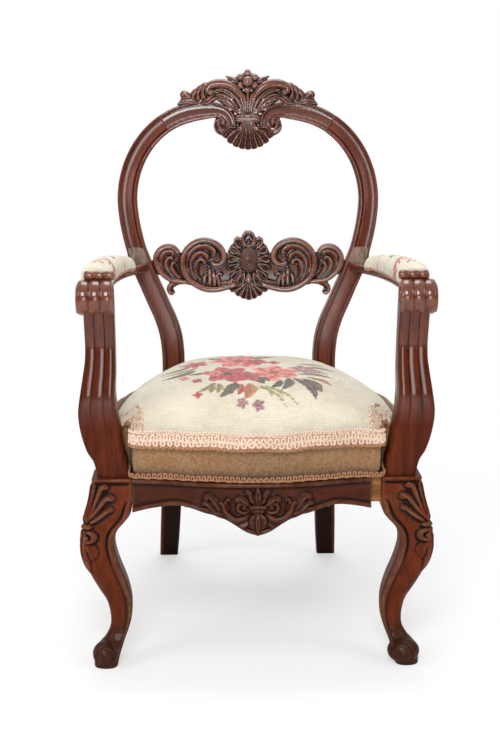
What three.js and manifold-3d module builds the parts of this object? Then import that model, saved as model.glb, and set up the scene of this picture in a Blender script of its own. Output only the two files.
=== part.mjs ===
// Balloon back open armchair with a sprung, upholstered seat.
// Millimetres. X to the right as seen from the front, Y towards the back, Z up, floor at zero.
import * as THREE from "three";
import { mergeVertices } from "three/addons/utils/BufferGeometryUtils.js";
import Module from "manifold-3d";

const wasm = await Module();
wasm.setup();

// Overall sizes.
const OVERALL_HEIGHT = 1012;
const ARM_HEIGHT = 655;
const SEAT_RAIL_TOP = 338;
const SEAT_RAIL_HEIGHT = 46;
const FRONT_CORNER_HALF = 277;
const FRONT_CORNER_REACH = 297;
const POST_WAIST_REACH = 180;
const REAR_FOOT_REACH = 325;
const GAP = 0.3;
const CUT_OVERRUN = 8;
const SEAT_RAIL_BOTTOM = SEAT_RAIL_TOP - SEAT_RAIL_HEIGHT;
const BIG_CUT = 60;

// Back posts: each is a rear leg and the lower part of the back in one piece.
const POST_HALF_SPAN = 151;
const POST_SPLAY = 67;
const POST_FOOT_SPLAY = 17;
const POST_WIDTH = 43.5;
const POST_DEPTH = 46;
const POST_FOOT_DEPTH = 30;
const POST_EDGE = 4;
const BACK_RAKE = 105;
const POST_TOP_BELOW_ARM = 5;

// Hoop of the back.
const HOOP_HALF_WIDTH = 240;
const HOOP_CROWN_DROP = 77.5;
const HOOP_SHOULDER = 85;
const HOOP_WIDTH = 38.5;
const HOOP_CROWN_WIDTH = 38;
const HOOP_DEPTH = 26;
const HOOP_JOINT_ANGLE = 1.02;
const HOOP_DOWEL_RADIUS = 5;
const HOOP_DOWEL_LENGTH = 46;

// Crest: volutes, shell and the carved cresting on top.
const VOLUTE_CENTRE = 48.5;
const VOLUTE_DROP = 22.5;
const VOLUTE_RADIUS = 21.5;
const VOLUTE_BEAD = 3.2;
const SHELL_RADIUS = 46;
const SHELL_DROP = 30.5;
const SHELL_LOBES = 7;
const CREST_WING_REACH = 140;
const CREST_WING_RISE = 40.5;
const CREST_BOARD_DEPTH = 13;
const CREST_RELIEF = 9;
const FLOWER_RADIUS = 20;
const FLOWER_BUTTON = 11.5;
const FLOWER_PETALS = 6;

// Carved cross splat.
const SPLAT_BELOW_ARM = 15;
const SPLAT_FLOWER_HALF_WIDTH = 40;
const SPLAT_FLOWER_HALF_HEIGHT = 46;
const SPLAT_THICKNESS = 15;
const SPLAT_SET_BACK = 5;
const SPLAT_RELIEF = 7;
const SPLAT_TENON_LENGTH = 20;
const SPLAT_TENON_HEIGHT = 26;
const SPLAT_TENON_THICKNESS = 9;

// Seat frame.
const RAIL_THICKNESS = 26;
const RAIL_FACE_HEIGHT = 41;
const FRONT_BOW = 33;
const FRONT_BOW_HALF = 200;
const FACING_THICKNESS = 12;
const FACING_BROKEN_END = 193;
const FACING_DEEP_CENTRE = 91;
const COCK_BEAD_HEIGHT = 7.5;
const COCK_BEAD_PROUD = 3;
const TOP_BEAD_HEIGHT = 8;
const TOP_BEAD_PROUD = 5;
const SIDE_RAIL_BOW = 9;
const TENON_LENGTH = 24;
const TENON_HEIGHT = 34;
const TENON_THICKNESS = 10;
const CORNER_BLOCK_LEG = 62;

// Front legs.
const LEG_BLOCK_SIDE = 66;
const KNEE_HALF_SPAN = 295;

// Arms.
const ARM_HALF_SPAN = 267;
const ARM_FRONT_REACH = 305;
const SCROLL_RADIUS = 29.5;
const SCROLL_WIDTH = 62;
const SCROLL_DROP = 5;
const SCROLL_REEDS = 4;
const REED_DEPTH = 2.4;
const ARM_WIDTH = 44;
const ARM_THICKNESS = 17;
const ARM_BACK_DROP = 24;
const PAD_STOP_RADIUS = 7;
const PAD_STOP_WIDTH = 48;
const PAD_WIDTH = 56;
const PAD_THICKNESS = 30;
const PAD_BACK_SETBACK = 34;

// Arm supports.
const SUPPORT_WIDTH = 50;
const SUPPORT_SWELL = 18;
const SUPPORT_DEPTH = 48;
const SUPPORT_FOOT_SPAN = 245;
const SUPPORT_LEAN = 16;
const SUPPORT_SWEEP = 12;
const SUPPORT_DOWEL_RADIUS = 6;
const SUPPORT_DOWEL_LENGTH = 44;

// Sprung seat.
const CUSHION_EDGE_HEIGHT = 66;
const CUSHION_CROWN = 84;
const CUSHION_FRONT_HALF = 214;
const CUSHION_CAVITY_HEIGHT = 60;
const WEB_WIDTH = 50;
const WEB_THICKNESS = 2;
const SPRING_RADIUS = 34;
const SPRING_WAIST = 22;
const SPRING_WIRE = 2.2;
const SPRING_TURNS = 3;
const SPRING_SPACING = 112;
const SPRING_CLEARANCE = 2.8;
const HESSIAN_THICKNESS = 2;

const POST_TOP = ARM_HEIGHT - POST_TOP_BELOW_ARM;
const SPLAT_HEIGHT = ARM_HEIGHT - SPLAT_BELOW_ARM;
const HOOP_CROWN_HEIGHT = OVERALL_HEIGHT - HOOP_CROWN_DROP;
const HOOP_SPRING_SHARE = 0.39719;
const HOOP_SPRING_HEIGHT = POST_TOP + (HOOP_CROWN_HEIGHT - POST_TOP) * HOOP_SPRING_SHARE;
const VOLUTE_HEIGHT = HOOP_CROWN_HEIGHT - VOLUTE_DROP;
const SHELL_HEIGHT = HOOP_CROWN_HEIGHT - SHELL_DROP;
const FLOWER_HEIGHT = OVERALL_HEIGHT - FLOWER_RADIUS;

const MAHOGANY = new THREE.MeshStandardMaterial({ color: 0x5a2a1c, roughness: 0.35, metalness: 0 });
const BEECH = new THREE.MeshStandardMaterial({ color: 0xa9794a, roughness: 0.75, metalness: 0 });
const TAPESTRY = new THREE.MeshStandardMaterial({ color: 0xcdc4a8, roughness: 0.95, metalness: 0 });
const JUTE = new THREE.MeshStandardMaterial({ color: 0x9b7b4e, roughness: 0.95, metalness: 0 });
const STEEL = new THREE.MeshStandardMaterial({ color: 0x8a6a4a, roughness: 0.4, metalness: 0.9 });

const chair = new THREE.Group();

// A closed geometry as a solid, turned face out if its faces point inwards.
function solidOf(geometry) {
  const bare = geometry.clone();
  for (const name of Object.keys(bare.attributes)) {
    if (name !== "position") bare.deleteAttribute(name);
  }
  const merged = mergeVertices(bare, 1e-4);
  const triVerts = new Uint32Array(merged.index.array);
  const make = () => new wasm.Manifold(
    new wasm.Mesh({ numProp: 3, vertProperties: merged.attributes.position.array, triVerts }));
  let solid = make();
  if (solid.volume() < 0) {
    for (let i = 0; i < triVerts.length; i += 3) {
      [triVerts[i + 1], triVerts[i + 2]] = [triVerts[i + 2], triVerts[i + 1]];
    }
    solid = make();
  }
  return solid;
}

// A solid's surface as a geometry.
function geometryOf(solid) {
  const mesh = solid.getMesh();
  const geometry = new THREE.BufferGeometry();
  const points = new Float32Array(mesh.numVert * 3);
  for (let i = 0; i < mesh.numVert; i++) {
    points.set(mesh.vertProperties.subarray(i * mesh.numProp, i * mesh.numProp + 3), i * 3);
  }
  geometry.setAttribute("position", new THREE.BufferAttribute(points, 3));
  geometry.setIndex(new THREE.BufferAttribute(new Uint32Array(mesh.triVerts), 1));
  geometry.computeVertexNormals();
  return geometry;
}

// The same geometry on the other side of the chair.
function mirrored(geometry) {
  const copy = geometry.clone();
  copy.scale(-1, 1, 1);
  const index = copy.index.array;
  for (let i = 0; i < index.length; i += 3) {
    [index[i + 1], index[i + 2]] = [index[i + 2], index[i + 1]];
  }
  copy.computeVertexNormals();
  return copy;
}

function place(name, solid, material) {
  const mesh = new THREE.Mesh(geometryOf(solid), material);
  mesh.name = name;
  chair.add(mesh);
  return mesh;
}

function placePair(name, solid, material) {
  place(`${name}_right`, solid, material);
  const twin = new THREE.Mesh(mirrored(geometryOf(solid)), material);
  twin.name = `${name}_left`;
  chair.add(twin);
}

// Smooth value at t from rows of [t, value, value, ...].
function along(rows, t, column = 1) {
  const last = rows.length - 1;
  if (t <= rows[0][0]) return rows[0][column];
  if (t >= rows[last][0]) return rows[last][column];
  const i = rows.findIndex((row) => row[0] > t) - 1;
  const slope = (k) => {
    const a = rows[Math.max(k - 1, 0)];
    const b = rows[Math.min(k + 1, last)];
    return (b[column] - a[column]) / (b[0] - a[0]);
  };
  const step = rows[i + 1][0] - rows[i][0];
  const s = (t - rows[i][0]) / step;
  const s2 = s * s;
  const s3 = s2 * s;
  return (2 * s3 - 3 * s2 + 1) * rows[i][column] + (s3 - 2 * s2 + s) * step * slope(i)
    + (3 * s2 - 2 * s3) * rows[i + 1][column] + (s3 - s2) * step * slope(i + 1);
}

// Skin over rings of points, with a cap over each end.
function loft(rings) {
  const count = rings[0].length;
  const points = rings.flat();
  const faces = [];
  for (let r = 0; r + 1 < rings.length; r++) {
    for (let i = 0; i < count; i++) {
      const a = r * count + i;
      const b = r * count + (i + 1) % count;
      faces.push(a, b, b + count, a, b + count, a + count);
    }
  }
  [0, rings.length - 1].forEach((r) => {
    const middle = new THREE.Vector3();
    rings[r].forEach((p) => middle.addScaledVector(p, 1 / count));
    const centre = points.push(middle) - 1;
    for (let i = 0; i < count; i++) {
      const a = r * count + i;
      const b = r * count + (i + 1) % count;
      faces.push(...(r === 0 ? [b, a, centre] : [a, b, centre]));
    }
  });
  const geometry = new THREE.BufferGeometry().setFromPoints(points);
  geometry.setIndex(faces);
  return solidOf(geometry);
}

const steps = (count, from, to) =>
  Array.from({ length: count + 1 }, (_, i) => from + (to - from) * i / count);

// A rectangle with cut corners, in its own plane, as [across, deep] pairs.
function cutRectangle(width, depth, edge) {
  const w = width / 2;
  return [[edge - w, 0], [w - edge, 0], [w, edge], [w, depth - edge],
    [w - edge, depth], [edge - w, depth], [-w, depth - edge], [-w, edge]];
}

function boxSolid(xLow, xHigh, yLow, yHigh, zLow, zHigh) {
  const geometry = new THREE.BoxGeometry(xHigh - xLow, yHigh - yLow, zHigh - zLow);
  geometry.translate((xLow + xHigh) / 2, (yLow + yHigh) / 2, (zLow + zHigh) / 2);
  return solidOf(geometry);
}

// A rod of one radius between two points.
function rod(from, to, radius, sides = 12) {
  const axis = to.clone().sub(from);
  const geometry = new THREE.CylinderGeometry(radius, radius, axis.length(), sides);
  geometry.applyQuaternion(new THREE.Quaternion().setFromUnitVectors(
    new THREE.Vector3(0, 1, 0), axis.clone().normalize()));
  geometry.translate((from.x + to.x) / 2, (from.y + to.y) / 2, (from.z + to.z) / 2);
  return solidOf(geometry);
}

// An egg shape at a place, turned in the plane of the back.
function egg(centre, alongRadius, acrossRadius, deepRadius, angle, rows = 4, columns = 6) {
  const geometry = new THREE.SphereGeometry(1, columns, rows);
  geometry.rotateZ(-Math.PI / 2);
  geometry.scale(alongRadius, deepRadius, acrossRadius);
  geometry.rotateY(-angle);
  geometry.translate(centre.x, centre.y, centre.z);
  return solidOf(geometry);
}

// A carved rib: a round section that tapers along a curve.
function rib(points, radii, sides = 6, flat = 1) {
  const curve = new THREE.CatmullRomCurve3(points);
  const count = radii.length - 1;
  const rings = radii.map((radius, i) => {
    const t = i / count;
    const centre = curve.getPoint(t);
    const tangent = curve.getTangent(t);
    const deep = new THREE.Vector3(0, 1, 0);
    const across = new THREE.Vector3().crossVectors(deep, tangent).normalize();
    return Array.from({ length: sides }, (_, k) => {
      const angle = 2 * Math.PI * k / sides;
      return centre.clone().addScaledVector(across, radius * Math.cos(angle))
        .addScaledVector(deep, flat * radius * Math.sin(angle));
    });
  });
  return loft(rings);
}

const joined = (solids) => solids.reduce((all, solid) => all.add(solid));

// Line of the back: how far the front face of the posts, hoop and crest lies towards the back.
const FOOT_KICK = REAR_FOOT_REACH - POST_FOOT_DEPTH - POST_WAIST_REACH;
const KICK_SHARES = [[0, 1], [0.1, 0.6], [0.2, 0.28], [0.33, 0.045], [0.42, 0], [1, 0]];
const RAKE_SHARES = [[0, 0], [0.42, 0], [0.52, 0.055], [0.632, 0.19], [0.79, 0.505], [0.889, 0.733], [1, 1]];
function backLine(z) {
  const share = z / OVERALL_HEIGHT;
  return POST_WAIST_REACH + FOOT_KICK * along(KICK_SHARES, share) + BACK_RAKE * along(RAKE_SHARES, share);
}

const onBack = (x, z, setBack = 0) => new THREE.Vector3(x, backLine(z) + setBack, z);

// Sideways line of a post, as shares of its splay at the feet and at the joint with the hoop.
const POST_LINE_SHARES = [[0, 1, 0], [0.1, 0.76, 0], [0.3, 0.35, 0], [0.5, 0, 0], [0.68, 0, 0],
  [0.712, 0, 0.01], [0.762, 0, 0.07], [0.811, 0, 0.21], [0.858, 0, 0.41], [0.908, 0, 0.62],
  [0.954, 0, 0.82], [1, 0, 1]];
const POST_WIDTH_SHARES = [[0, 0.87], [0.1, 0.93], [0.5, 1], [0.85, 1.01], [1, 1]];
const POST_DEPTH_SHARES = [[0, 0], [0.15, 0.25], [0.3, 0.75], [0.44, 1], [0.6, 1], [0.8, 0.5], [1, 0]];
function postCentre(z) {
  const share = z / POST_TOP;
  return POST_HALF_SPAN + POST_FOOT_SPLAY * along(POST_LINE_SHARES, share, 1)
    + POST_SPLAY * along(POST_LINE_SHARES, share, 2);
}
const postWidth = (z) => POST_WIDTH * along(POST_WIDTH_SHARES, z / POST_TOP);
const postDepth = (z) => POST_FOOT_DEPTH
  + (POST_DEPTH - POST_FOOT_DEPTH) * along(POST_DEPTH_SHARES, z / POST_TOP);

function postBlank(grow = 0, rings = 14) {
  return loft(steps(rings, 0, POST_TOP).map((z) =>
    cutRectangle(postWidth(z) + 2 * grow, postDepth(z) + 2 * grow, POST_EDGE).map(([across, deep]) =>
      new THREE.Vector3(postCentre(z) + across, backLine(z) + deep - grow, z))));
}

// Hoop: a stretch that follows the posts outwards, then a quarter of an ellipse up to the crown.
const HOOP_LOWER_SHARES = [[0, 0], [0.3, 0.44], [0.58, 0.76], [0.86, 0.96], [1, 1]];
const POST_TOP_CENTRE = postCentre(POST_TOP);
function hoopPoint(station) {
  if (station < 0) {
    const share = 1 + station;
    return new THREE.Vector2(
      POST_TOP_CENTRE + (HOOP_HALF_WIDTH - POST_TOP_CENTRE) * along(HOOP_LOWER_SHARES, share),
      POST_TOP + (HOOP_SPRING_HEIGHT - POST_TOP) * share);
  }
  return new THREE.Vector2(
    HOOP_SHOULDER + (HOOP_HALF_WIDTH - HOOP_SHOULDER) * Math.cos(station),
    HOOP_SPRING_HEIGHT + (HOOP_CROWN_HEIGHT - HOOP_SPRING_HEIGHT) * Math.sin(station));
}
// The moulding from the outer edge to the inner one: bead, wide hollow, two small beads, back.
const MOULDING_SHARES = [[0.5, 0.2], [0.49, 0.06], [0.45, 0], [0.4, 0.05], [0.3, 0.15], [0.13, 0.21],
  [-0.04, 0.18], [-0.16, 0.07], [-0.21, 0.03], [-0.3, 0.06], [-0.36, 0.02], [-0.46, 0.04], [-0.5, 0.16],
  [-0.5, 0.86], [-0.4, 1], [0.4, 1], [0.5, 0.86]];
const hoopWidth = (station) => HOOP_WIDTH
  + (HOOP_CROWN_WIDTH - HOOP_WIDTH) * Math.max(0, station) / (Math.PI / 2);
function hoopRing(station, grow = 0) {
  const nudge = 0.01;
  const centre = hoopPoint(station);
  const ahead = hoopPoint(station + nudge).sub(hoopPoint(station - nudge)).normalize();
  const width = hoopWidth(station) + 2 * grow;
  return MOULDING_SHARES.map(([across, deep]) => {
    const x = centre.x + ahead.y * across * width;
    const z = centre.y - ahead.x * across * width;
    return new THREE.Vector3(x, backLine(z) + deep * (HOOP_DEPTH + 2 * grow) - grow, z);
  });
}
// Rings at the foot of the hoop lie level, so that it stands on the post.
function levelRing(z, grow = 0) {
  const centre = hoopPoint(-1).x;
  return MOULDING_SHARES.map(([across, deep]) => new THREE.Vector3(
    centre + across * (POST_WIDTH + 2 * grow), backLine(z) + deep * (HOOP_DEPTH + 2 * grow) - grow, z));
}

const JOINT_GAP_ANGLE = GAP / (HOOP_HALF_WIDTH - HOOP_SHOULDER);
function hoopDowels() {
  const ends = (station, reach, setBack) => {
    const middle = hoopPoint(station);
    const run = hoopPoint(station + 0.1).sub(middle).normalize();
    return [-reach, reach].map((step) => {
      const end = middle.clone().addScaledVector(run, step);
      return onBack(end.x, end.y, setBack);
    });
  };
  return {
    lower: ends(-1, HOOP_DOWEL_LENGTH / 2, HOOP_DEPTH / 2),
    upper: ends(HOOP_JOINT_ANGLE, HOOP_DOWEL_LENGTH / 3, HOOP_DEPTH * 0.6),
  };
}
const DOWELS = hoopDowels();
function grownRod([from, to], radius, grow) {
  const axis = to.clone().sub(from).normalize().multiplyScalar(grow);
  return rod(from.clone().sub(axis), to.clone().add(axis), radius + grow);
}

function hoopSide() {
  const rings = [levelRing(POST_TOP + GAP), ...steps(4, -0.86, -0.12).map((s) => hoopRing(s)),
    ...steps(8, 0, HOOP_JOINT_ANGLE - JOINT_GAP_ANGLE).map((s) => hoopRing(s))];
  return loft(rings)
    .subtract(grownRod(DOWELS.lower, HOOP_DOWEL_RADIUS, GAP))
    .subtract(grownRod(DOWELS.upper, HOOP_DOWEL_RADIUS, GAP));
}

// Crest rail: the two ends of the hoop, their volutes, the block between them and the shell below.
function voluteSpiral() {
  const turns = 1.45;
  const count = 16;
  const radii = [];
  const points = [];
  steps(count, 0, 1).forEach((t) => {
    const angle = Math.PI * (0.5 + 2 * turns * t);
    const radius = (VOLUTE_RADIUS - VOLUTE_BEAD) * (1 - 0.82 * t);
    const x = VOLUTE_CENTRE + radius * Math.cos(angle);
    const z = VOLUTE_HEIGHT + radius * Math.sin(angle);
    points.push(new THREE.Vector3(x, backLine(z), z));
    radii.push(VOLUTE_BEAD * (1 - 0.45 * t));
  });
  return rib(points, radii, 5);
}
function voluteDisc() {
  const disc = new THREE.CylinderGeometry(VOLUTE_RADIUS, VOLUTE_RADIUS * 0.98, HOOP_DEPTH, 16);
  disc.translate(VOLUTE_CENTRE, backLine(VOLUTE_HEIGHT) + HOOP_DEPTH / 2 + VOLUTE_BEAD / 2, VOLUTE_HEIGHT);
  return solidOf(disc);
}
function crownBand(grow = 0) {
  const rings = steps(5, HOOP_JOINT_ANGLE + JOINT_GAP_ANGLE, Math.PI / 2).map((s) => hoopRing(s, grow));
  const inner = hoopRing(Math.PI / 2, grow).map((p) => {
    const across = (p.z - HOOP_CROWN_HEIGHT) * 0.8;
    const z = VOLUTE_HEIGHT + (HOOP_CROWN_HEIGHT - VOLUTE_HEIGHT) * 0.75 + across;
    return new THREE.Vector3(VOLUTE_CENTRE + VOLUTE_RADIUS * 0.4, p.y - backLine(p.z) + backLine(z), z);
  });
  return loft([...rings, inner]);
}
function shell() {
  const centre = new THREE.Vector3(0, backLine(SHELL_HEIGHT) + HOOP_DEPTH * 0.4, SHELL_HEIGHT);
  const fan = steps(SHELL_LOBES - 1, -0.86 * Math.PI, -0.14 * Math.PI).map((angle) => {
    const length = SHELL_RADIUS * (0.9 + 0.1 * Math.abs(Math.sin(angle)));
    const middle = centre.clone().add(
      new THREE.Vector3(Math.cos(angle), 0, Math.sin(angle)).multiplyScalar(length * 0.52));
    middle.y = centre.y - CREST_RELIEF * 0.6;
    return egg(middle, length * 0.5, SHELL_RADIUS * 0.21, CREST_RELIEF * 1.25, angle);
  });
  return joined(fan);
}
function crestBlock() {
  const half = VOLUTE_CENTRE;
  const low = SHELL_HEIGHT - SHELL_RADIUS * 0.55;
  const high = HOOP_CROWN_HEIGHT + HOOP_CROWN_WIDTH * 0.2;
  const front = backLine(VOLUTE_HEIGHT) + HOOP_DEPTH * 0.35;
  return boxSolid(-half, half, front, front + HOOP_DEPTH * 0.75, low, high)
    .subtract(cornerCuts(half, low, front));
}
// Rounds the lower corners of the block behind the shell.
function cornerCuts(half, low, front) {
  const radius = SHELL_RADIUS * 0.75;
  const keep = new THREE.CylinderGeometry(radius, radius, HOOP_DEPTH * 2, 20);
  keep.translate(0, front + HOOP_DEPTH / 2, low + radius);
  const waste = boxSolid(-half - CUT_OVERRUN, half + CUT_OVERRUN, front - CUT_OVERRUN,
    front + HOOP_DEPTH + CUT_OVERRUN, low - CUT_OVERRUN, low + radius);
  return waste.subtract(solidOf(keep));
}
function crestRail() {
  const half = crownBand().add(voluteDisc()).add(voluteSpiral())
    .subtract(grownRod(DOWELS.upper, HOOP_DOWEL_RADIUS, GAP));
  const twin = solidOf(mirrored(geometryOf(half)));
  return half.add(twin).add(crestBlock()).add(shell());
}

// Outline in the plane of the back, thickened along the rake.
function raked(outline, front, back, curveSegments = 6) {
  const shape = new THREE.Shape(outline);
  const geometry = new THREE.ExtrudeGeometry(shape, {
    depth: back - front, bevelEnabled: false, steps: 1, curveSegments,
  });
  const place3 = geometry.attributes.position;
  for (let i = 0; i < place3.count; i++) {
    const x = place3.getX(i);
    const z = place3.getY(i);
    place3.setXYZ(i, x, backLine(z) + front + place3.getZ(i), z);
  }
  return solidOf(geometry);
}

// Cresting: two leaf wings, a fan of stems and a flower, carved as one board.
const WING_OUTLINE_SHARES = [[0, -0.6], [0.3, -0.5], [0.7, -0.4], [1, -0.45], [1, -0.17], [0.93, 0.21],
  [0.885, 0.4], [0.82, 0.43], [0.76, 0.48], [0.7, 0.68], [0.62, 0.85], [0.52, 0.96], [0.36, 0.99],
  [0.33, 1.22], [0.27, 1.16], [0.17, 1], [0, 1]];
function crestOutline() {
  const base = HOOP_CROWN_HEIGHT + HOOP_CROWN_WIDTH / 2;
  const rise = CREST_WING_RISE;
  const half = WING_OUTLINE_SHARES.map(([across, up]) => new THREE.Vector2(
    CREST_WING_REACH * across, base + rise * up));
  const other = half.slice(1, -1).reverse().map((p) => new THREE.Vector2(-p.x, p.y));
  return [...half, ...other];
}
const WING_RIB_SHARES = [[0.03, -0.35], [0.08, 0.25], [0.2, 0.7], [0.38, 0.84], [0.54, 0.78], [0.62, 0.55],
  [0.6, 0.3]];
const WING_LEAF_SHARES = [[0.71, 0.3, -0.33, 0.2], [0.81, 0.16, -0.25, 0.22], [0.92, 0.02, -0.2, 0.22],
  [0.32, 0.22, 0.22, 0.28], [0.28, 1, 0.18, 0.16]];
function wingRelief() {
  const base = HOOP_CROWN_HEIGHT + HOOP_CROWN_WIDTH / 2;
  const rise = CREST_WING_RISE;
  const at = (across, up) => onBack(CREST_WING_REACH * across, base + rise * up);
  const scroll = rib(WING_RIB_SHARES.map(([across, up]) => at(across, up)),
    steps(9, 0, 1).map((t) => CREST_RELIEF * (0.5 + 0.3 * t)), 5, 0.8);
  const leaves = WING_LEAF_SHARES.map(([across, up, turn, length]) =>
    egg(at(across, up), CREST_WING_REACH * length * 0.5, CREST_RELIEF * 0.8, CREST_RELIEF * 0.75,
      Math.PI * turn));
  return joined([scroll, ...leaves]);
}
function flower() {
  const middle = onBack(0, FLOWER_HEIGHT);
  const petals = Array.from({ length: FLOWER_PETALS }, (_, i) => {
    const angle = Math.PI * (0.5 + 2 * i / FLOWER_PETALS);
    const reach = FLOWER_RADIUS * 0.6;
    const spot = onBack(reach * Math.cos(angle), FLOWER_HEIGHT + reach * Math.sin(angle));
    return egg(spot, FLOWER_RADIUS * 0.42, FLOWER_RADIUS * 0.34, CREST_RELIEF, angle);
  });
  const button = egg(middle, FLOWER_BUTTON, FLOWER_BUTTON, CREST_RELIEF * 1.5, 0, 5, 8);
  return joined([button, ...petals]);
}
function crestCarving() {
  const board = raked(crestOutline(), 0, CREST_BOARD_DEPTH);
  const right = wingRelief();
  const left = solidOf(mirrored(geometryOf(right)));
  const stems = steps(4, -0.5, 0.5).map((lean) => {
    const low = HOOP_CROWN_HEIGHT - HOOP_CROWN_WIDTH * 0.1;
    const points = steps(2, 0, 1).map((t) => {
      const z = low + (FLOWER_HEIGHT - low) * 0.7 * t;
      return onBack(lean * FLOWER_RADIUS * (0.9 + 1.8 * t * t), z);
    });
    return rib(points, [CREST_RELIEF * 0.3, CREST_RELIEF * 0.4, CREST_RELIEF * 0.45, CREST_RELIEF * 0.3], 5);
  });
  const carving = joined([board, right, left, ...stems, flower()]);
  const keepOff = (sign) => {
    const disc = new THREE.CylinderGeometry(VOLUTE_RADIUS + VOLUTE_BEAD + GAP,
      VOLUTE_RADIUS + VOLUTE_BEAD + GAP, HOOP_DEPTH * 3, 16);
    disc.translate(VOLUTE_CENTRE, backLine(VOLUTE_HEIGHT), VOLUTE_HEIGHT);
    const solid = crownBand(GAP).add(solidOf(disc));
    return sign > 0 ? solid : solidOf(mirrored(geometryOf(solid)));
  };
  const block = boxSolid(-VOLUTE_CENTRE, VOLUTE_CENTRE,
    backLine(VOLUTE_HEIGHT) + HOOP_DEPTH * 0.35 - GAP, backLine(OVERALL_HEIGHT) + HOOP_DEPTH * 2,
    VOLUTE_HEIGHT - VOLUTE_RADIUS, HOOP_CROWN_HEIGHT + HOOP_CROWN_WIDTH * 0.2 + GAP);
  return carving.subtract(keepOff(1)).subtract(keepOff(-1)).subtract(block);
}

// Splat: one carved board between the posts.
const SPLAT_OUTLINE_SHARES = [[0, -0.975], [0.075, -0.92], [0.135, -0.825], [0.18, -0.7], [0.285, -0.79],
  [0.385, -0.8], [0.47, -0.76], [0.57, -0.69], [0.655, -0.64], [0.71, -0.675], [0.735, -0.74], [0.71, -0.84],
  [0.75, -0.89], [0.79, -0.825], [0.805, -0.675], [0.8, -0.55], [0.83, -0.46], [1.03, -0.42], [1.03, 0.12],
  [0.945, 0.16], [0.915, 0.29], [0.84, 0.4], [0.755, 0.41], [0.695, 0.34], [0.66, 0.24], [0.62, 0.36],
  [0.53, 0.5], [0.445, 0.555], [0.36, 0.54], [0.285, 0.46], [0.23, 0.29], [0.205, 0.11], [0.185, 0.25],
  [0.15, 0.3], [0.16, 0.41], [0.14, 0.51], [0.09, 0.51], [0.077, 0.6], [0.055, 0.725], [0, 0.76]];
const SPLAT_HALF_WIDTH = postCentre(SPLAT_HEIGHT) * 0.94;
const SPLAT_HALF_HEIGHT = SPLAT_FLOWER_HALF_HEIGHT * 1.74;
const splatAt = (across, up) =>
  onBack(SPLAT_HALF_WIDTH * across, SPLAT_HEIGHT + SPLAT_HALF_HEIGHT * up, SPLAT_SET_BACK);
const BIG_SCROLL_SHARES = [[0.1, -0.55], [0.25, -0.66], [0.42, -0.66], [0.56, -0.5], [0.62, -0.25],
  [0.63, 0.05], [0.58, 0.3], [0.47, 0.46], [0.36, 0.44], [0.27, 0.28], [0.25, 0.06], [0.31, -0.08],
  [0.4, 0.02]];
const END_SCROLL_SHARES = [[0.71, -0.3], [0.68, -0.05], [0.7, 0.18], [0.79, 0.33], [0.89, 0.22]];
const HOOK_SHARES = [[0.69, -0.62], [0.75, -0.62], [0.775, -0.72], [0.755, -0.82]];
function splatScroll(shares, radius, count) {
  return rib(shares.map(([across, up]) => splatAt(across, up)),
    steps(count, 0, 1).map((t) => radius * (0.55 + 0.45 * Math.sin(Math.PI * Math.min(1, 0.2 + t)))),
    5, 0.85);
}
const PETAL_RING_SHARES = {
  count: 11, firstTurn: -0.22, lastTurn: 1.22, across: 0.72, up: 0.72, topSize: 1.35,
};
const FAN_SHARES = { count: 7, firstTurn: -0.78, lastTurn: -0.22, across: 0.55, down: 0.45 };
function splatFlower() {
  const middle = splatAt(0, 0.02);
  const boss = egg(middle, SPLAT_FLOWER_HALF_WIDTH * 0.44, SPLAT_FLOWER_HALF_HEIGHT * 0.54,
    SPLAT_RELIEF * 1.5, 0, 6, 10);
  const { count, firstTurn, lastTurn, across, up, topSize } = PETAL_RING_SHARES;
  const petals = steps(count - 1, firstTurn, lastTurn).map((turn, i) => {
    const angle = Math.PI * turn;
    const size = i === (count - 1) / 2 ? topSize : 1;
    const rise = up * (Math.sin(angle) + size - 1);
    const spot = onBack(SPLAT_FLOWER_HALF_WIDTH * across * Math.cos(angle),
      SPLAT_HEIGHT + SPLAT_FLOWER_HALF_HEIGHT * rise, SPLAT_SET_BACK);
    return egg(spot, SPLAT_FLOWER_HALF_WIDTH * 0.3 * size, SPLAT_FLOWER_HALF_WIDTH * 0.2 * size,
      SPLAT_RELIEF, angle);
  });
  const fan = steps(FAN_SHARES.count - 1, FAN_SHARES.firstTurn, FAN_SHARES.lastTurn).map((turn) => {
    const angle = Math.PI * turn;
    const spot = onBack(SPLAT_FLOWER_HALF_WIDTH * FAN_SHARES.across * Math.cos(angle),
      SPLAT_HEIGHT - SPLAT_FLOWER_HALF_HEIGHT + SPLAT_FLOWER_HALF_WIDTH * FAN_SHARES.down * Math.sin(angle),
      SPLAT_SET_BACK);
    return egg(spot, SPLAT_FLOWER_HALF_WIDTH * 0.36, SPLAT_FLOWER_HALF_WIDTH * 0.13, SPLAT_RELIEF, angle);
  });
  return joined([boss, ...petals, ...fan]);
}
function splat() {
  const half = SPLAT_OUTLINE_SHARES.map(([across, up]) =>
    new THREE.Vector2(SPLAT_HALF_WIDTH * across, SPLAT_HEIGHT + SPLAT_HALF_HEIGHT * up));
  const other = half.slice(1, -1).reverse().map((p) => new THREE.Vector2(-p.x, p.y));
  const board = raked([...half, ...other], SPLAT_SET_BACK, SPLAT_SET_BACK + SPLAT_THICKNESS);
  const scrolls = joined([splatScroll(BIG_SCROLL_SHARES, SPLAT_RELIEF, 16),
    splatScroll(END_SCROLL_SHARES, SPLAT_RELIEF * 0.9, 7), splatScroll(HOOK_SHARES, SPLAT_RELIEF * 0.6, 5)]);
  const side = postBlank(GAP).add(hoopBlank(GAP));
  const tenon = splatTenon(0);
  return joined([board, scrolls, solidOf(mirrored(geometryOf(scrolls))), splatFlower()])
    .subtract(side).subtract(solidOf(mirrored(geometryOf(side))))
    .add(tenon).add(solidOf(mirrored(geometryOf(tenon))));
}
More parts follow.
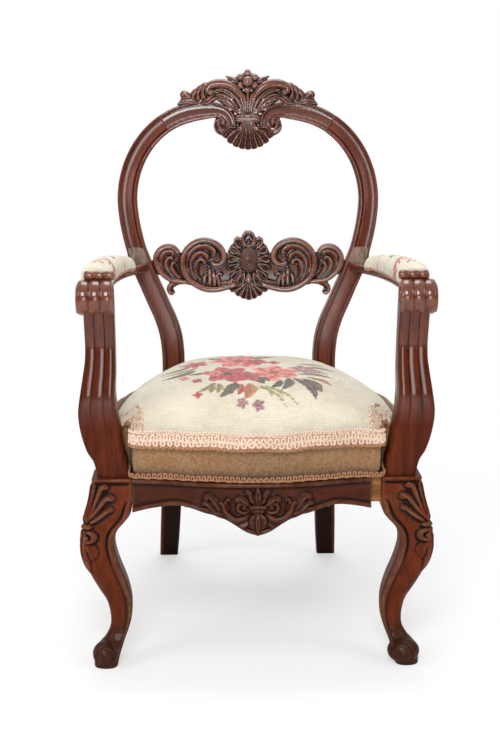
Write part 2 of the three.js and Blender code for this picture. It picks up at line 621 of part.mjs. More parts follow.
// The tongue at each end of the splat that is let into the post.
function splatTenon(grow) {
  const z = SPLAT_HEIGHT - SPLAT_TENON_HEIGHT;
  const front = backLine(z) + SPLAT_SET_BACK + (SPLAT_THICKNESS - SPLAT_TENON_THICKNESS) / 2;
  const inner = postCentre(z) - postWidth(z) / 2;
  return boxSolid(inner - SPLAT_TENON_LENGTH - grow, inner + SPLAT_TENON_LENGTH * 0.8 + grow,
    front - grow, front + SPLAT_TENON_THICKNESS + grow,
    z - SPLAT_TENON_HEIGHT / 2 - grow, z + SPLAT_TENON_HEIGHT / 2 + grow);
}
function hoopBlank(grow) {
  return loft([levelRing(POST_TOP, grow), ...steps(4, -0.86, -0.12).map((s) => hoopRing(s, grow))]);
}

// Plan line of the front of the seat: a serpentine that bows forward in the middle.
const BOW_SHARES = [[0, 1], [0.25, 0.93], [0.5, 0.68], [0.75, 0.27], [1, 0]];
const seatFront = (x) => -FRONT_CORNER_REACH - FRONT_BOW * along(BOW_SHARES, Math.abs(x) / FRONT_BOW_HALF);
const BLOCK_INNER = FRONT_CORNER_HALF - LEG_BLOCK_SIDE;
const BLOCK_BACK = LEG_BLOCK_SIDE - FRONT_CORNER_REACH;

function frontRail() {
  const core = loft(steps(16, GAP - BLOCK_INNER, BLOCK_INNER - GAP).map((x) => {
    const front = seatFront(x) + FACING_THICKNESS;
    return [[front, SEAT_RAIL_BOTTOM], [front + RAIL_THICKNESS, SEAT_RAIL_BOTTOM],
      [front + RAIL_THICKNESS, SEAT_RAIL_TOP], [front, SEAT_RAIL_TOP]].map(([y, z]) =>
      new THREE.Vector3(x, y, z));
  }));
  return core.add(frontTenon(1, 0)).add(frontTenon(-1, 0));
}
function frontTenon(side, grow) {
  const front = FACING_THICKNESS - FRONT_CORNER_REACH + (RAIL_THICKNESS - TENON_THICKNESS) / 2;
  const z = SEAT_RAIL_TOP - SEAT_RAIL_HEIGHT / 2;
  const near = side * (BLOCK_INNER - CUT_OVERRUN);
  const far = side * (BLOCK_INNER + TENON_LENGTH + grow);
  return boxSolid(Math.min(near, far), Math.max(near, far), front - grow, front + TENON_THICKNESS + grow,
    z - TENON_HEIGHT / 2 - grow, z + TENON_HEIGHT / 2 + grow);
}

// Carved facing on the front rail: its lower edge is scalloped to a pendant in the middle.
const APRON_SHARES = [[0, 1], [0.09, 0.88], [0.2, 0.58], [0.3, 0.36], [0.42, 0.24], [0.53, 0.1], [0.62, 0.04],
  [0.72, 0.08], [0.86, 0.2], [1, 0.36]];
const apronEdge = (x) => SEAT_RAIL_TOP - RAIL_FACE_HEIGHT
  - (FACING_DEEP_CENTRE - RAIL_FACE_HEIGHT) * along(APRON_SHARES, Math.abs(x) / BLOCK_INNER);
function facingBlank() {
  const face = FACING_THICKNESS - GAP;
  return loft(steps(24, GAP - BLOCK_INNER, FACING_BROKEN_END).map((x) => {
    const y = seatFront(x);
    const low = apronEdge(x);
    const top = SEAT_RAIL_TOP;
    return [[face, top], [-TOP_BEAD_PROUD * 0.4, top], [-TOP_BEAD_PROUD, top - TOP_BEAD_HEIGHT * 0.3],
      [-TOP_BEAD_PROUD, top - TOP_BEAD_HEIGHT * 0.7], [0, top - TOP_BEAD_HEIGHT],
      [0, low + COCK_BEAD_HEIGHT], [-COCK_BEAD_PROUD, low + COCK_BEAD_HEIGHT * 0.75],
      [-COCK_BEAD_PROUD, low + COCK_BEAD_HEIGHT * 0.25], [0, low], [face, low]].map(([deep, z]) =>
      new THREE.Vector3(x, y + deep, z));
  }));
}
const apronAt = (x, z) => new THREE.Vector3(x, seatFront(x), z);
const APRON_LEAF_SHARES = [[0, 0.5, -0.5, 0.3], [0.1, 0.46, -0.3, 0.24], [0.17, 0.34, -0.16, 0.22],
  [0.07, 0.26, 0.2, 0.24], [0.22, 0.2, 0.12, 0.26], [0.34, 0.3, -0.08, 0.26]];
const APRON_SCROLL_SHARES = [[0.04, 0.62], [0.14, 0.52], [0.26, 0.42], [0.38, 0.3], [0.44, 0.18],
  [0.38, 0.12], [0.34, 0.2]];
const PENDANT_PROUD_SHARE = 2.4;
function apronCarving() {
  const half = BLOCK_INNER;
  const leaves = APRON_LEAF_SHARES.map(([across, down, turn, length]) =>
    egg(apronAt(half * across, SEAT_RAIL_TOP - FACING_DEEP_CENTRE * down), half * length * 0.5,
      COCK_BEAD_HEIGHT * 0.8, COCK_BEAD_PROUD * 1.8, Math.PI * turn));
  const scroll = rib(APRON_SCROLL_SHARES.map(([across, down]) =>
    apronAt(half * across, SEAT_RAIL_TOP - FACING_DEEP_CENTRE * down)),
  steps(9, 0, 1).map((t) => COCK_BEAD_HEIGHT * (0.62 - 0.25 * t)), 5, 0.9);
  const side = joined([scroll, ...leaves]);
  const pendant = egg(apronAt(0, SEAT_RAIL_TOP - FACING_DEEP_CENTRE * 0.83), COCK_BEAD_HEIGHT * 2.2,
    COCK_BEAD_HEIGHT * 1.2, COCK_BEAD_PROUD * PENDANT_PROUD_SHARE, Math.PI / 2);
  return joined([side, solidOf(mirrored(geometryOf(side))), pendant]);
}
function frontFacing() {
  const low = SEAT_RAIL_TOP - FACING_DEEP_CENTRE - BIG_CUT;
  const high = SEAT_RAIL_TOP + CUT_OVERRUN;
  const back = loft(steps(16, -BLOCK_INNER, BLOCK_INNER).map((x) => {
    const near = seatFront(x) + FACING_THICKNESS - GAP;
    const far = near + RAIL_THICKNESS;
    return [[near, low], [far, low], [far, high], [near, high]].map(([y, z]) => new THREE.Vector3(x, y, z));
  }));
  return facingBlank().add(apronCarving()).subtract(back);
}

// Front legs: cabriole, turned out at 45 degrees, so each level reaches as far sideways as forwards.
// Each row holds the height, then how far the outer and the inner side stand out, as shares.
const LEG_SHARES = [[0, 0.25, 1.67], [0.036, 0.25, 1.53], [0.065, 0.22, 1.39], [0.1, -0.08, 1.17],
  [0.13, -0.69, 0.97], [0.178, -1.22, 0.61], [0.24, -1.34, 0.31], [0.33, -1.04, 0.24], [0.4, -0.43, 0.41],
  [0.47, 0.17, 0.72], [0.55, 0.73, 1.19], [0.61, 0.93, 1.49], [0.666, 0.98, 1.67], [0.72, 0.94, 1.56],
  [0.755, 0.86, 1.17], [0.78, 0.73, 0.67], [0.81, 0.55, 0.22], [0.85, 0.33, 0.03], [0.9, 0.12, 0],
  [0.97, 0, 0], [1, 0, 0]];
const KNEE_RISE = KNEE_HALF_SPAN - FRONT_CORNER_HALF;
function legRing(z, grow = 0) {
  const share = z / SEAT_RAIL_TOP;
  const out = KNEE_RISE * along(LEG_SHARES, share, 1);
  const inward = KNEE_RISE * along(LEG_SHARES, share, 2);
  const low = BLOCK_INNER + inward - grow;
  const high = FRONT_CORNER_HALF + out + grow;
  const side = high - low;
  const bead = z > SEAT_RAIL_TOP - TOP_BEAD_HEIGHT ? TOP_BEAD_PROUD : 0;
  const round = share > 0.85 ? 0.06 : 0.26;
  const toward = FRONT_CORNER_HALF - FRONT_CORNER_REACH;
  const corner = [[0, 0, round], [0, 1, round * 0.8], [1, 1, round * 0.8], [1, 0, round]];
  return corner.flatMap(([u, v, cut]) => {
    const inset = side * cut;
    const mid = inset * 0.3;
    const sx = u ? -1 : 1;
    const sy = v ? -1 : 1;
    const x = low + side * u;
    const y = low + side * v;
    const pair = [[x, y + sy * inset], [x + sx * mid, y + sy * mid], [x + sx * inset, y]];
    if (u === v) pair.reverse();
    return pair.map(([px, py]) => new THREE.Vector3(
      px + (px > BLOCK_INNER + side * 0.5 ? bead * 0.3 : 0),
      toward - py - (py > BLOCK_INNER + side * 0.5 ? bead * 0.5 : 0), z));
  });
}
function frontLeg() {
  const rings = [...steps(10, 0, SEAT_RAIL_TOP * 0.5),
    ...steps(10, SEAT_RAIL_TOP * 0.54, SEAT_RAIL_TOP * 0.965),
    SEAT_RAIL_TOP - TOP_BEAD_HEIGHT * 0.8, SEAT_RAIL_TOP].map((z) => legRing(z));
  return loft(rings)
    .subtract(frontTenon(1, GAP))
    .subtract(sideTenon(0, GAP))
    .subtract(grownRod(supportDowel(), SUPPORT_DOWEL_RADIUS, GAP));
}

// Side rails run straight from the front legs to the posts.
const SIDE_FRONT_CENTRE = FRONT_CORNER_HALF - RAIL_THICKNESS / 2 - TOP_BEAD_PROUD;
const SIDE_START = BLOCK_BACK + GAP;
const SIDE_END = POST_WAIST_REACH - GAP;
const sideCentre = (y) => SIDE_FRONT_CENTRE
  + (POST_HALF_SPAN - SIDE_FRONT_CENTRE) * (y - SIDE_START) / (SIDE_END - SIDE_START)
  + SIDE_RAIL_BOW * Math.sin(Math.PI * (y - SIDE_START) / (SIDE_END - SIDE_START));
function sideRailBody(grow = 0, rings = 8) {
  return loft(steps(rings, SIDE_START, SIDE_END).map((y) =>
    [[-1, SEAT_RAIL_BOTTOM - grow], [-1, SEAT_RAIL_TOP + grow], [1, SEAT_RAIL_TOP + grow],
      [1, SEAT_RAIL_BOTTOM - grow]].map(([side, z]) =>
      new THREE.Vector3(sideCentre(y) + side * (RAIL_THICKNESS / 2 + grow), y, z))));
}
function sideTenon(end, grow) {
  const face = end ? SIDE_END : SIDE_START;
  const reach = (TENON_LENGTH + grow) * (end ? 1 : -1);
  const ends = [face - (end ? CUT_OVERRUN : -CUT_OVERRUN), face + reach].sort((a, b) => a - b);
  const x = sideCentre(face);
  const z = SEAT_RAIL_TOP - SEAT_RAIL_HEIGHT / 2;
  return boxSolid(x - TENON_THICKNESS / 2 - grow, x + TENON_THICKNESS / 2 + grow, ends[0], ends[1],
    z - TENON_HEIGHT / 2 - grow, z + TENON_HEIGHT / 2 + grow);
}
const sideRail = () => sideRailBody().add(sideTenon(0, 0)).add(sideTenon(1, 0));

// Back rail between the posts.
const BACK_RAIL_FRONT = POST_WAIST_REACH + (POST_DEPTH - RAIL_THICKNESS) / 2;
const POST_INNER = POST_HALF_SPAN - POST_WIDTH / 2;
function backTenon(grow) {
  const z = SEAT_RAIL_TOP - SEAT_RAIL_HEIGHT / 2;
  const y = BACK_RAIL_FRONT + RAIL_THICKNESS * 0.75;
  return boxSolid(POST_INNER - CUT_OVERRUN, POST_INNER + TENON_LENGTH * 0.6 + grow,
    y - TENON_THICKNESS / 2 - grow, y + TENON_THICKNESS / 2 + grow,
    z - TENON_HEIGHT / 2 - grow, z + TENON_HEIGHT / 2 + grow);
}
function backRailBody(grow = 0) {
  return boxSolid(GAP - POST_INNER - grow, POST_INNER - GAP + grow, BACK_RAIL_FRONT - grow,
    BACK_RAIL_FRONT + RAIL_THICKNESS + grow, SEAT_RAIL_BOTTOM - grow, SEAT_RAIL_TOP + grow);
}
function backRail() {
  const tenon = backTenon(0);
  return backRailBody().add(tenon).add(solidOf(mirrored(geometryOf(tenon))));
}

function backPost() {
  return postBlank()
    .subtract(sideTenon(1, GAP))
    .subtract(backTenon(GAP))
    .subtract(splatTenon(GAP))
    .subtract(grownRod(DOWELS.lower, HOOP_DOWEL_RADIUS, GAP));
}

// Arms: a wooden arm with a reeded scroll at the front, carried by a reeded support.
const SCROLL_CENTRE_Y = SCROLL_RADIUS - ARM_FRONT_REACH;
const SCROLL_CENTRE_Z = ARM_HEIGHT - SCROLL_DROP;
const ARM_END_Z = ARM_HEIGHT - ARM_BACK_DROP;
const ARM_END_Y = backLine(ARM_END_Z) + POST_EDGE;
const ARM_LINE_SHARES = [[0, 1], [0.2, 1.01], [0.45, 0.97], [0.65, 0.8], [0.8, 0.51], [0.9, 0.25], [1, 0]];
const ARM_WIDTH_SHARES = [[0, 1], [0.55, 1], [0.8, 0.82], [0.92, 0.62], [1, 0.6]];
const armCentre = (t) => postCentre(ARM_END_Z)
  + (ARM_HALF_SPAN - postCentre(ARM_END_Z)) * along(ARM_LINE_SHARES, t);
const armHeight = (t) => ARM_HEIGHT - ARM_BACK_DROP * t;
const armY = (t) => SCROLL_CENTRE_Y + (ARM_END_Y - SCROLL_CENTRE_Y) * t;
const armWidth = (t) => ARM_WIDTH * along(ARM_WIDTH_SHARES, t);
function armBlank(grow = 0, rings = 10) {
  return loft(steps(rings, 0, 1).map((t) =>
    cutRectangle(armWidth(t) + 2 * grow, ARM_THICKNESS + 2 * grow, POST_EDGE).map(([across, up]) =>
      new THREE.Vector3(armCentre(t) + across, armY(t), armHeight(t) - ARM_THICKNESS / 2 - grow + up))));
}
// A reeded roll about a line along X.
function reededRoll(x, y, z, radius, width, reeds, depth, segments) {
  const pitch = width / reeds;
  const rim = steps(reeds * 3, 0, reeds).map((k) => new THREE.Vector2(
    radius - depth + depth * Math.sqrt(Math.abs(Math.sin(Math.PI * k))), k * pitch - width / 2));
  const profile = [new THREE.Vector2(0, -width / 2), ...rim, new THREE.Vector2(0, width / 2)];
  const roll = new THREE.LatheGeometry(profile, segments);
  roll.rotateZ(-Math.PI / 2);
  roll.translate(x, y, z);
  return solidOf(roll);
}
const armScroll = () => reededRoll(ARM_HALF_SPAN, SCROLL_CENTRE_Y, SCROLL_CENTRE_Z,
  SCROLL_RADIUS, SCROLL_WIDTH, SCROLL_REEDS, REED_DEPTH, 16);
const padStop = () => reededRoll(ARM_HALF_SPAN, SCROLL_CENTRE_Y + PAD_STOP_RADIUS * 1.2,
  SCROLL_CENTRE_Z + SCROLL_RADIUS + PAD_STOP_RADIUS * 0.3, PAD_STOP_RADIUS, PAD_STOP_WIDTH, 3, REED_DEPTH, 8);
function supportDowel() {
  const x = SUPPORT_FOOT_SPAN;
  const y = supportY(0);
  return [new THREE.Vector3(x, y, SEAT_RAIL_TOP - SUPPORT_DOWEL_LENGTH / 2),
    new THREE.Vector3(x, y, SEAT_RAIL_TOP + SUPPORT_DOWEL_LENGTH / 2)];
}
function topDowel() {
  const x = SUPPORT_FOOT_SPAN + SUPPORT_LEAN;
  return [new THREE.Vector3(x, SCROLL_CENTRE_Y, SCROLL_CENTRE_Z - SCROLL_RADIUS - SUPPORT_DOWEL_LENGTH / 2),
    new THREE.Vector3(x, SCROLL_CENTRE_Y, SCROLL_CENTRE_Z)];
}
const SUPPORT_SHARES = [[0, 0.03, -0.1], [0.09, 0.3, 0.15], [0.144, 0.6, 0.6], [0.256, 0.88, 1.07],
  [0.369, 0.75, 1.39], [0.478, 0.42, 1.33], [0.587, 0.2, 1.13], [0.683, 0, 1], [0.856, 0, 1], [1, 0, 1]];
const SUPPORT_SWEEP_SHARES = [[0, 0, 0], [0.25, 0.5, 0.08], [0.5, 1, 0.3], [0.75, 0.7, 0.7], [1, 0, 1]];
const SUPPORT_RISE = SCROLL_CENTRE_Z - SEAT_RAIL_TOP - GAP;
const SUPPORT_FOOT_Y = BLOCK_BACK - LEG_BLOCK_SIDE / 2;
const supportY = (t) => SUPPORT_FOOT_Y + SUPPORT_SWEEP * along(SUPPORT_SWEEP_SHARES, t, 1)
  + (SCROLL_CENTRE_Y - SUPPORT_FOOT_Y) * along(SUPPORT_SWEEP_SHARES, t, 2);
function supportRing(t) {
  const width = SUPPORT_WIDTH + SUPPORT_SWELL * along(SUPPORT_SHARES, t, 1);
  const x = SUPPORT_FOOT_SPAN + SUPPORT_LEAN * along(SUPPORT_SHARES, t, 2);
  const front = supportY(t) - SUPPORT_DEPTH / 2;
  const reeds = steps(SCROLL_REEDS * 3, 0, SCROLL_REEDS).map((k) => [width * (k / SCROLL_REEDS - 0.5),
    REED_DEPTH * (1 - Math.sqrt(Math.abs(Math.sin(Math.PI * k))))]);
  return [...reeds, [width / 2, SUPPORT_DEPTH - POST_EDGE], [width / 2 - POST_EDGE, SUPPORT_DEPTH],
    [POST_EDGE - width / 2, SUPPORT_DEPTH], [-width / 2, SUPPORT_DEPTH - POST_EDGE]].map(([across, deep]) =>
    new THREE.Vector3(x + across, front + deep, SEAT_RAIL_TOP + GAP + SUPPORT_RISE * t));
}
function armSupport() {
  const clear = new THREE.CylinderGeometry(SCROLL_RADIUS + GAP, SCROLL_RADIUS + GAP, SCROLL_WIDTH * 2, 16);
  clear.rotateZ(Math.PI / 2);
  clear.translate(ARM_HALF_SPAN, SCROLL_CENTRE_Y, SCROLL_CENTRE_Z);
  const past = boxSolid(BLOCK_INNER, ARM_HALF_SPAN + SCROLL_WIDTH, SCROLL_CENTRE_Y, SCROLL_CENTRE_Y + BIG_CUT,
    ARM_HEIGHT - ARM_THICKNESS / 2 - GAP - ARM_BACK_DROP * 0.2, ARM_HEIGHT + SCROLL_RADIUS);
  return loft(steps(10, 0, 1).map((t) => supportRing(t)))
    .subtract(solidOf(clear)).subtract(past)
    .add(rod(...supportDowel(), SUPPORT_DOWEL_RADIUS)).add(rod(...topDowel(), SUPPORT_DOWEL_RADIUS));
}
function arm() {
  const post = postBlank(GAP).add(hoopBlank(GAP));
  return armBlank().add(armScroll()).add(padStop()).subtract(post)
    .subtract(grownRod(topDowel(), SUPPORT_DOWEL_RADIUS, GAP));
}

// Stuffed pad over the arm, closed down both sides of the wood.
const PAD_SHARES = [[0, 0.7, 0.75], [0.04, 0.95, 1], [0.3, 1, 1], [0.6, 0.98, 0.95], [0.9, 0.8, 0.72],
  [1, 0.6, 0.3]];
const PAD_SECTION_SHARES = [[-0.9, 0], [-1, 0.35], [-0.86, 0.74], [-0.45, 0.96], [0, 1], [0.45, 0.96],
  [0.86, 0.74], [1, 0.35], [0.9, 0]];
function armPad() {
  const start = (SCROLL_RADIUS + PAD_STOP_RADIUS * 0.4) / (ARM_END_Y - SCROLL_CENTRE_Y);
  const end = 1 - PAD_BACK_SETBACK / (ARM_END_Y - SCROLL_CENTRE_Y);
  const rings = steps(12, 0, 1).map((s) => {
    const t = start + (end - start) * s;
    const half = PAD_WIDTH * along(PAD_SHARES, s, 1) / 2;
    const low = armHeight(t) - ARM_THICKNESS / 2 + GAP;
    const rise = ARM_THICKNESS + PAD_THICKNESS * along(PAD_SHARES, s, 2);
    return PAD_SECTION_SHARES.map(([across, up]) =>
      new THREE.Vector3(armCentre(t) + half * across, armY(t), low + rise * up));
  });
  return loft(rings).subtract(armBlank(GAP)).subtract(reededRoll(ARM_HALF_SPAN, SCROLL_CENTRE_Y,
    SCROLL_CENTRE_Z, SCROLL_RADIUS + GAP * 2, SCROLL_WIDTH, 1, 0, 16));
}

// Glue blocks in the four corners under the seat.
function cornerPrism(points) {
  const low = SEAT_RAIL_BOTTOM + POST_EDGE;
  const plan = new THREE.Shape(points.map(([x, y]) => new THREE.Vector2(x, y)));
  const geometry = new THREE.ExtrudeGeometry(plan, {
    depth: SEAT_RAIL_HEIGHT - POST_EDGE * 2, bevelEnabled: false,
  });
  geometry.translate(0, 0, low);
  return solidOf(geometry);
}
function frontCornerBlock() {
  const grown = loft(steps(16, -BLOCK_INNER, BLOCK_INNER).map((x) => {
    const front = seatFront(x);
    const back = front + FACING_THICKNESS + RAIL_THICKNESS + GAP;
    return [[front, SEAT_RAIL_BOTTOM - CUT_OVERRUN], [back, SEAT_RAIL_BOTTOM - CUT_OVERRUN],
      [back, SEAT_RAIL_TOP + CUT_OVERRUN], [front, SEAT_RAIL_TOP + CUT_OVERRUN]].map(([y, z]) =>
      new THREE.Vector3(x, y, z));
  }));
  const leg = boxSolid(BLOCK_INNER - GAP, FRONT_CORNER_HALF, -FRONT_CORNER_REACH, BLOCK_BACK + GAP,
    0, SEAT_RAIL_TOP);
  const end = BLOCK_BACK + CORNER_BLOCK_LEG;
  return cornerPrism([[BLOCK_INNER - CORNER_BLOCK_LEG, -FRONT_CORNER_REACH],
    [SIDE_FRONT_CENTRE, -FRONT_CORNER_REACH], [sideCentre(end), end]])
    .subtract(grown).subtract(leg).subtract(sideRailBody(GAP));
}
function rearCornerBlock() {
  const start = POST_WAIST_REACH - CORNER_BLOCK_LEG;
  const side = sideCentre(start);
  return cornerPrism([[POST_INNER - CORNER_BLOCK_LEG, BACK_RAIL_FRONT + RAIL_THICKNESS / 2],
    [side, start], [POST_HALF_SPAN, BACK_RAIL_FRONT + RAIL_THICKNESS / 2]])
    .subtract(sideRailBody(GAP)).subtract(backRailBody(GAP)).subtract(postBlank(GAP))
    .subtract(boxSolid(POST_INNER - GAP, side + CUT_OVERRUN, POST_WAIST_REACH - GAP,
      POST_WAIST_REACH + POST_DEPTH, SEAT_RAIL_BOTTOM, SEAT_RAIL_TOP));
}

// Seat: webbing under the rails, springs on it, canvas over them and the stuffed cushion.
const SEAT_MIDDLE = (POST_WAIST_REACH - FRONT_CORNER_REACH) / 2;
const HOLLOW_FRONT = BLOCK_BACK;
const HOLLOW_BACK = POST_WAIST_REACH - CUT_OVERRUN * 2;
const SPRING_ROWS_SHARES = [[0, 1], [0.338, 0.9], [0.676, 0.75]];
const springRowY = (share) => HOLLOW_FRONT + SPRING_RADIUS + SPRING_WIRE + SPRING_CLEARANCE
  + (HOLLOW_BACK - HOLLOW_FRONT) * share;
const WEB_TOP = SEAT_RAIL_BOTTOM - GAP;
function webs() {
  const lift = WEB_TOP - WEB_THICKNESS;
  [-1, 0, 1].forEach((side, i) => {
    const x = side * SPRING_SPACING * 0.87;
    const front = seatFront(Math.abs(x)) + FACING_THICKNESS + POST_EDGE;
    place(`web_long_${i + 1}`, boxSolid(x - WEB_WIDTH / 2, x + WEB_WIDTH / 2, front,
      BACK_RAIL_FRONT + RAIL_THICKNESS - POST_EDGE, lift, WEB_TOP), JUTE);
  });
  SPRING_ROWS_SHARES.forEach(([back], i) => {
    const y = springRowY(back);
    const half = sideCentre(y + WEB_WIDTH / 2);
    place(`web_cross_${i + 1}`, boxSolid(-half, half, y - WEB_WIDTH / 2, y + WEB_WIDTH / 2,
      lift - GAP - WEB_THICKNESS, lift - GAP), JUTE);
  });
}
const CAVITY_TOP = SEAT_RAIL_TOP + CUSHION_CAVITY_HEIGHT;
const SPRING_LOW = WEB_TOP + GAP + SPRING_WIRE;
const SPRING_HIGH = CAVITY_TOP - GAP * 2 - HESSIAN_THICKNESS - SPRING_WIRE;
function spring(x, y) {
  const curve = new THREE.Curve();
  curve.getPoint = (t) => {
    const angle = 2 * Math.PI * SPRING_TURNS * t;
    const radius = SPRING_WAIST + (SPRING_RADIUS - SPRING_WAIST) * (2 * t - 1) ** 2;
    return new THREE.Vector3(x + radius * Math.cos(angle), y + radius * Math.sin(angle),
      SPRING_LOW + (SPRING_HIGH - SPRING_LOW) * t);
  };
  const section = new THREE.Shape(steps(3, 0, 1.5 * Math.PI).map((a) =>
    new THREE.Vector2(SPRING_WIRE * Math.cos(a), SPRING_WIRE * Math.sin(a))));
  return solidOf(new THREE.ExtrudeGeometry(section, {
    steps: SPRING_TURNS * 7, bevelEnabled: false, extrudePath: curve,
  }));
}
function springs() {
  SPRING_ROWS_SHARES.forEach(([back, narrow], row) => {
    [-1, 0, 1].forEach((side, column) => {
      const coil = spring(side * SPRING_SPACING * narrow, springRowY(back));
      place(`spring_${row * 3 + column + 1}`, coil, STEEL);
    });
  });
}
// Plan of the hollow under the stuffing, as shares of the seat's half width and depth.
function hollow(low, high, inset) {
  const front = HOLLOW_FRONT + inset;
  const back = HOLLOW_BACK - inset;
  const plan = [[-1, front], [1, front], [1, back], [-1, back]].map(([side, y]) =>
    new THREE.Vector2(side * (sideCentre(y) - RAIL_THICKNESS * 1.4 - inset), y));
  const geometry = new THREE.ExtrudeGeometry(new THREE.Shape(plan), {
    depth: high - low, bevelEnabled: false,
  });
  geometry.translate(0, 0, low);
  return solidOf(geometry);
}
const hessian = () => hollow(CAVITY_TOP - GAP - HESSIAN_THICKNESS, CAVITY_TOP - GAP, GAP);

// Plan of the cushion: bowed front, corners cut back for the arm supports, sides along the rails.
function cushionPlan() {
  const clear = SUPPORT_DEPTH + POST_EDGE;
  const notch = supportY(0.25) + clear / 2;
  const side = (y) => sideCentre(y) + RAIL_THICKNESS / 2;
  const half = [...steps(7, 0, CUSHION_FRONT_HALF * 0.97).map((x) => [x, seatFront(x) + GAP]),
    [CUSHION_FRONT_HALF, seatFront(CUSHION_FRONT_HALF) + POST_EDGE * 2],
    [CUSHION_FRONT_HALF, (notch - FRONT_CORNER_REACH) / 2],
    [CUSHION_FRONT_HALF + POST_EDGE, notch - POST_EDGE],
    [CUSHION_FRONT_HALF + POST_EDGE * 4, notch], [side(notch) - POST_EDGE, notch],
    ...steps(5, notch + POST_EDGE * 2, SIDE_END - POST_EDGE).map((y) => [side(y), y]),
    [POST_INNER + POST_EDGE, SIDE_END - GAP], [POST_INNER - GAP * 2, SIDE_END + POST_EDGE],
    [POST_INNER - GAP * 2, BACK_RAIL_FRONT + RAIL_THICKNESS - POST_EDGE],
    [POST_INNER * 0.5, BACK_RAIL_FRONT + RAIL_THICKNESS - GAP]];
  const left = half.slice(1).reverse().map(([x, y]) => [-x, y]);
  return [...half, [0, BACK_RAIL_FRONT + RAIL_THICKNESS - GAP], ...left];
}
const CROWN_SHARES = [[1, 0], [0.99, 0.16], [0.96, 0.31], [0.89, 0.5], [0.78, 0.7], [0.65, 0.85],
  [0.45, 0.96], [0.2, 1]];
function cushion() {
  const plan = cushionPlan();
  const base = SEAT_RAIL_TOP + GAP;
  const ring = (scale, z) => plan.map(([x, y]) =>
    new THREE.Vector3(x * scale, SEAT_MIDDLE + (y - SEAT_MIDDLE) * scale, z));
  const rings = [ring(0.994, base), ring(1, base + CUSHION_EDGE_HEIGHT * 0.15),
    ring(1, base + CUSHION_EDGE_HEIGHT * 0.85),
    ...CROWN_SHARES.map(([scale, up]) =>
      ring(scale * 0.997, base + CUSHION_EDGE_HEIGHT + CUSHION_CROWN * up))];
  return loft(rings).subtract(hollow(SEAT_RAIL_TOP - CUT_OVERRUN, CAVITY_TOP, 0));
}

function addWood() {
  placePair("front_leg", frontLeg(), MAHOGANY);
  placePair("back_post", backPost(), MAHOGANY);
  placePair("hoop_side", hoopSide(), MAHOGANY);
  placePair("arm_support", armSupport(), MAHOGANY);
  placePair("arm", arm(), MAHOGANY);
  place("front_facing", frontFacing(), MAHOGANY);
  place("splat", splat(), MAHOGANY);
  place("crest_rail", crestRail(), MAHOGANY);
  place("crest_carving", crestCarving(), MAHOGANY);
  place("front_rail", frontRail(), BEECH);
  place("back_rail", backRail(), MAHOGANY);
  placePair("side_rail", sideRail(), MAHOGANY);
  placePair("hoop_lower_dowel", rod(...DOWELS.lower, HOOP_DOWEL_RADIUS), BEECH);
  placePair("hoop_upper_dowel", rod(...DOWELS.upper, HOOP_DOWEL_RADIUS), BEECH);
  placePair("front_corner_block", frontCornerBlock(), BEECH);
  placePair("rear_corner_block", rearCornerBlock(), BEECH);
}
function addSeat() {
  webs();
  springs();
  place("hessian", hessian(), JUTE);
  place("seat_cushion", cushion(), TAPESTRY);
  placePair("arm_pad", armPad(), TAPESTRY);
}
addWood();
addSeat();
// The sizes run from the middle of the seat, and the finished chair is set midway over its own footprint.
const FRONT_REACH = FRONT_CORNER_REACH + FRONT_BOW + COCK_BEAD_PROUD * PENDANT_PROUD_SHARE;
chair.position.y = (FRONT_REACH - REAR_FOOT_REACH) / 2;

export default chair;
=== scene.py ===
"""Looks of a carved balloon back open armchair with a needlework seat.

Lengths inside the classes are millimetres in the chair's own drawing: X to the right as seen from the front,
Y towards the back, Z up from the floor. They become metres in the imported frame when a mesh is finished.
"""

import logging
import math
from collections.abc import Callable, Sequence
from dataclasses import dataclass
from enum import Enum
from typing import ClassVar

import bmesh
import bpy
import numpy as np
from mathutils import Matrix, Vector
from mathutils.bvhtree import BVHTree


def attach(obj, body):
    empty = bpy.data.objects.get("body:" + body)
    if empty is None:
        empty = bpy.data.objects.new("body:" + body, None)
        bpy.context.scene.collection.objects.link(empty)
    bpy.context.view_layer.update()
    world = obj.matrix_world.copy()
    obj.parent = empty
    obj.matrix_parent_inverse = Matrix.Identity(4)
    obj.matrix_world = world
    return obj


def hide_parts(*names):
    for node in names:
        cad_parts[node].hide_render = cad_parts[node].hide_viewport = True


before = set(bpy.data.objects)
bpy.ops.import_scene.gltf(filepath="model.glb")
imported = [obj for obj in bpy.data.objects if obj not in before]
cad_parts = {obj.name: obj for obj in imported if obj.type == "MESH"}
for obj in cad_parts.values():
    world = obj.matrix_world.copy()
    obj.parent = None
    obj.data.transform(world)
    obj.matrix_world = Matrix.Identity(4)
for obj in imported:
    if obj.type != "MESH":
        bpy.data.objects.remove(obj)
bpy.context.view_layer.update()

LOG = logging.getLogger("armchair")
MM = 0.001
BODY = "root"

Rows = Sequence[Sequence[float]]
Ring = list[tuple[float, float, float]]
Point2 = tuple[float, float]
Line = tuple[Point2, ...]
Shares = tuple[float, ...]
Colour = tuple[float, ...]


